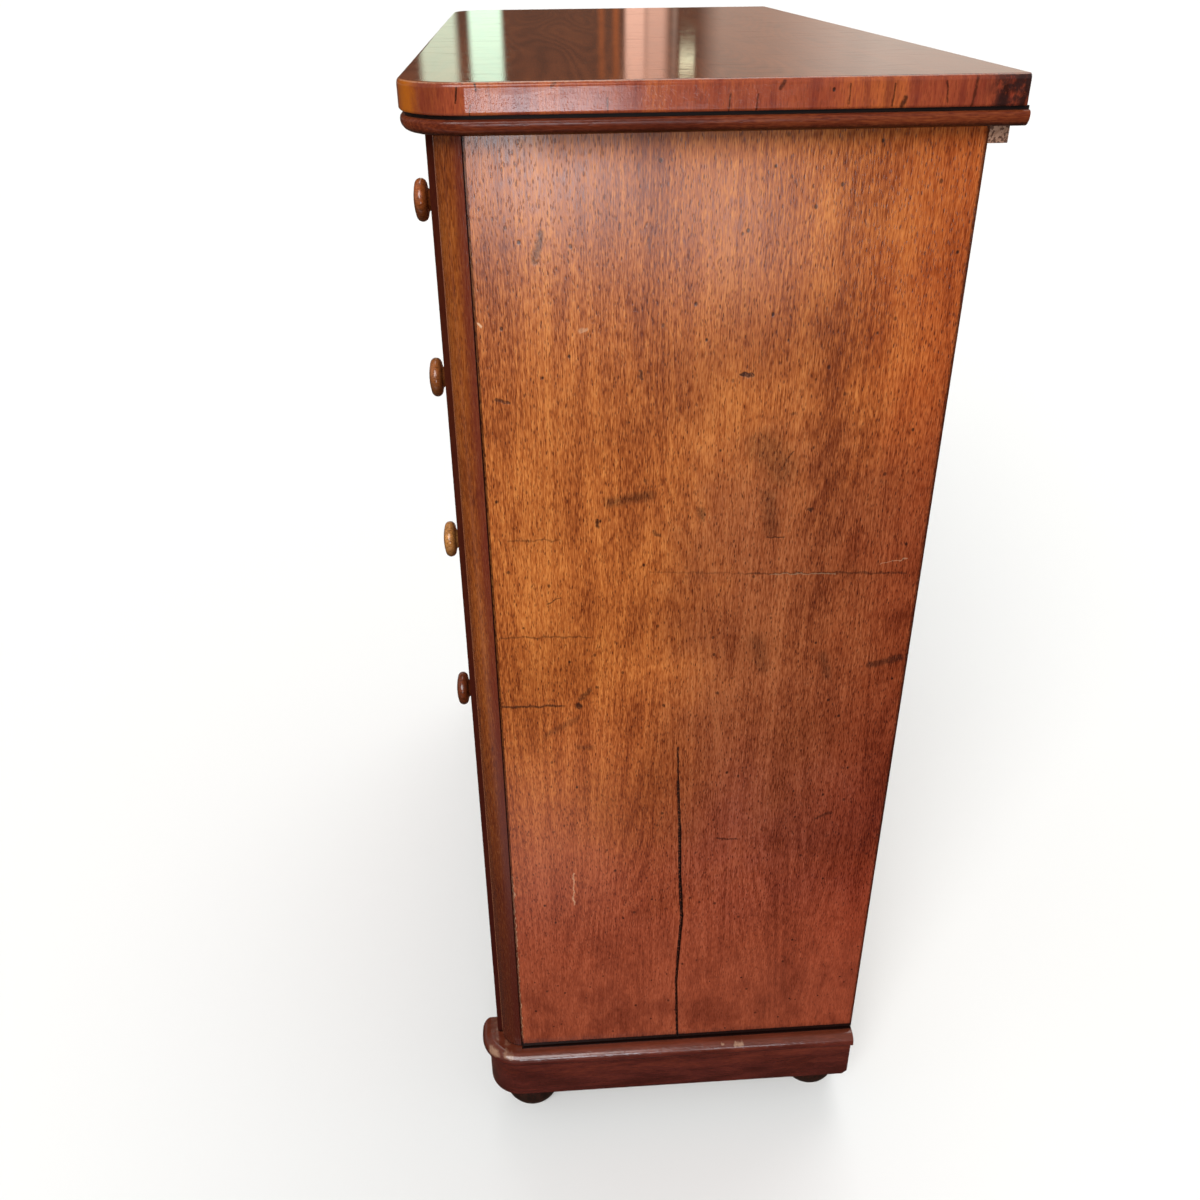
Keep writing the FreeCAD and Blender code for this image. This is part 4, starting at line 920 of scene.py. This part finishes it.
class CHEST_OT_stage(bpy.types.Operator):
    """Set up the camera, the lamps, the pale floor and the cards that the polish mirrors"""
    bl_idname = "chest.stage"
    bl_label = "Stage"

    def execute(self, context):
        scene, stage = context.scene, context.scene.chest_stage
        scene.view_settings.view_transform = "Standard"
        self.camera(scene, stage)
        for name, share, towards in (("Key light", stage.key_level, stage.key_direction),
                                     ("Back light", stage.back_level, stage.back_direction)):
            self.light(scene, name, "SUN", Vector(towards), energy=share * math.pi, angle=stage.key_spread)
        for name, place, width, height, power in (
                ("Low window", (3.3, -0.10, 0.80), 0.5, 0.45, stage.window_power),
                ("Side window", (3.3, 0.52, 0.60), 0.3, 0.35, stage.window_power / 3)):
            lamp = self.light(scene, name, "AREA", Vector((1, 0, 0)), shape="RECTANGLE", size=width,
                              size_y=height, energy=power, color=(0.84, 0.92, 1.0))
            lamp.location = place
            lamp.visible_camera = False
        self.sky(scene, stage)
        self.floor(scene, stage)
        self.room_card(scene, stage)
        self.dark_cloth(scene, stage)
        return {"FINISHED"}

    def camera(self, scene, stage):
        """Camera at the viewing angle of the photograph."""
        yaw, pitch, roll = stage.camera_yaw, stage.camera_pitch, stage.camera_roll
        ahead = Vector((-math.cos(pitch) * math.cos(yaw), -math.cos(pitch) * math.sin(yaw), -math.sin(pitch)))
        right = ahead.cross(Vector((0, 0, 1))).normalized()
        up = right.cross(ahead)
        across = right * math.cos(roll) + up * math.sin(roll)
        upright = up * math.cos(roll) - right * math.sin(roll)
        lens = bpy.data.cameras.new("Camera")
        lens.lens = stage.lens
        lens.sensor_width = 36.0
        lens.clip_start = 0.01
        camera = bpy.data.objects.new("Camera", lens)
        axes = Matrix((across, upright, -ahead)).transposed().to_4x4()
        camera.matrix_world = Matrix.Translation(stage.camera_place) @ axes
        scene.collection.objects.link(camera)
        scene.camera = camera

    def light(self, scene, name, kind, towards, **settings):
        """Soft light of one kind, which comes from the side given as towards."""
        data = bpy.data.lights.new(name, kind)
        for setting, value in settings.items():
            setattr(data, setting, value)
        lamp = bpy.data.objects.new(name, data)
        lamp.rotation_euler = towards.to_track_quat("Z", "Y").to_euler()
        scene.collection.objects.link(lamp)
        return lamp

    def sky(self, scene, stage):
        """Even light from all sides, white to the camera; mirrors show it dim, as in a real room."""
        scene.world = bpy.data.worlds.new("Studio")
        scene.world.use_nodes = True
        tree = scene.world.node_tree
        tree.nodes.clear()
        path = add(tree, "LightPath").outputs
        clear = either(tree, path["Is Camera Ray"], path["Is Transmission Ray"])
        share = add(tree, "MapRange", {"Value": clear, "To Min": stage.sky_level, "To Max": 1.0})
        add(tree, "OutputWorld", {"Surface": add(tree, "Background", {"Color": WHITE, "Strength": share})})

    def flat(self, scene, name, corners, material):
        """Flat stage piece of four corners."""
        mesh = bpy.data.meshes.new(name)
        mesh.from_pydata(corners, [], [(0, 1, 2, 3)])
        mesh.materials.append(material)
        piece = bpy.data.objects.new(name, mesh)
        scene.collection.objects.link(piece)
        return piece

    def card(self, scene, name, corners, tree, material, tint, strength):
        """Glowing flat card that only the polish mirrors."""
        glow = add(tree, "Emission", {"Color": tint, "Strength": strength})
        add(tree, "OutputMaterial", {"Surface": glow})
        piece = self.flat(scene, name, corners, material)
        for rays in ("camera", "diffuse", "shadow", "transmission"):
            setattr(piece, "visible_" + rays, False)

    def square(self, half, height):
        """Corners of a level square round the origin."""
        return [(x * half, y * half, height) for x, y in ((-1, -1), (1, -1), (1, 1), (-1, 1))]

    def floor(self, scene, stage):
        """Pale floor that keeps the chest's shadow; only what sees it directly gets the full white."""
        material, tree = new_material("Matt painted studio floor")
        path = add(tree, "LightPath").outputs
        seen = either(tree, path["Is Camera Ray"], path["Is Glossy Ray"], path["Is Transmission Ray"])
        tint = stain(tree, SHADE["floor unseen"], (stage.floor, seen))
        glow = add(tree, "Emission", {"Color": WHITE, "Strength": overlap(tree, seen, 0.10)})
        both = add(tree, "AddShader", {0: add(tree, "BsdfDiffuse", {"Color": tint}), 1: glow})
        add(tree, "OutputMaterial", {"Surface": both})
        self.flat(scene, "Floor", self.square(40.0, 0.0), material)

    def room_card(self, scene, stage):
        """Tall dark card with bright strips on the far side, which the top board mirrors."""
        material, tree = new_material("Studio card with light strips")
        # Start, end and softness in millimetres, colour, share
        strips = ((-385, -294, 12, SHADE["far strip"], 0.95), (-262, -182, 9, stage.window, 1.0),
                  (56, 70, 8, SHADE["brown strip"], 0.8), (92, 106, 8, SHADE["brown strip"], 1.0),
                  (122, 170, 8, stage.curtain, 1.0), (170, 225, 16, stage.curtain, 0.75),
                  (238, 250, 8, stage.wall, 0.5), (330, 700, 40, stage.wall, 0.85),
                  (620, 2400, 170, SHADE["grey strip"], 1.0))
        tint = stage.room
        for start, end, soft, shade, share in strips:
            tint = stain(tree, tint, (shade, ("Y", start - soft, start + soft),
                                      ("Y", end + soft, end - soft), share))
        tint = stain(tree, tint, (SHADE["pane"], ("Y", 256, 262), ("Y", 300, 292), ("Z", 1410, 1420),
                                  ("Z", 1475, 1465)))
        x, near, far, low, high = -1.6, -4.0, 5.0, 1.275, 3.2
        corners = [(x, near, low), (x, far, low), (x, far, high), (x, near, high)]
        self.card(scene, "Room card", corners, tree, material, tint, stage.card_level)

    def dark_cloth(self, scene, stage):
        """Dark cloth over the pale floor, so that the polish keeps its depth."""
        material, tree = new_material("Dark cloth")
        tint = stain(tree, stage.cloth,
                     (SHADE["floor gap"], ("X", 800, 1000, 25), ("X", 1350, 1150, 25), ("Y", 60, -160, 25)))
        self.card(scene, "Dark cloth", self.square(30.0, 0.002), tree, material, tint, 1.0)


STEPS = [CHEST_OT_top_board, CHEST_OT_top_mouldings, CHEST_OT_side_panels, CHEST_OT_stiles, CHEST_OT_rails,
         CHEST_OT_drawer_fronts, CHEST_OT_drawer_linings, CHEST_OT_knobs, CHEST_OT_plinth, CHEST_OT_feet,
         CHEST_OT_inner_frame, CHEST_OT_nails, CHEST_OT_stage]


class CHEST_PT_panel(bpy.types.Panel):
    """Steps that dress the chest"""
    bl_label = "Mahogany chest of drawers"
    bl_idname = "CHEST_PT_panel"
    bl_space_type = "VIEW_3D"
    bl_region_type = "UI"
    bl_category = "Chest"

    def draw(self, context):
        for step in STEPS:
            self.layout.operator(step.bl_idname)


CLASSES = [ChestColours, ChestSizes, ChestStage, *STEPS, CHEST_PT_panel]


def register():
    for item in CLASSES:
        bpy.utils.register_class(item)
    bpy.types.Scene.chest_colours = PointerProperty(type=ChestColours)
    bpy.types.Scene.chest_sizes = PointerProperty(type=ChestSizes)
    bpy.types.Scene.chest_stage = PointerProperty(type=ChestStage)


def unregister():
    del bpy.types.Scene.chest_stage
    del bpy.types.Scene.chest_sizes
    del bpy.types.Scene.chest_colours
    for item in reversed(CLASSES):
        bpy.utils.unregister_class(item)


def main():
    """Dresses the chest step by step."""
    register()
    for step in STEPS:
        getattr(bpy.ops.chest, step.bl_idname.split(".")[1])()


if __name__ == "__main__":
    main()
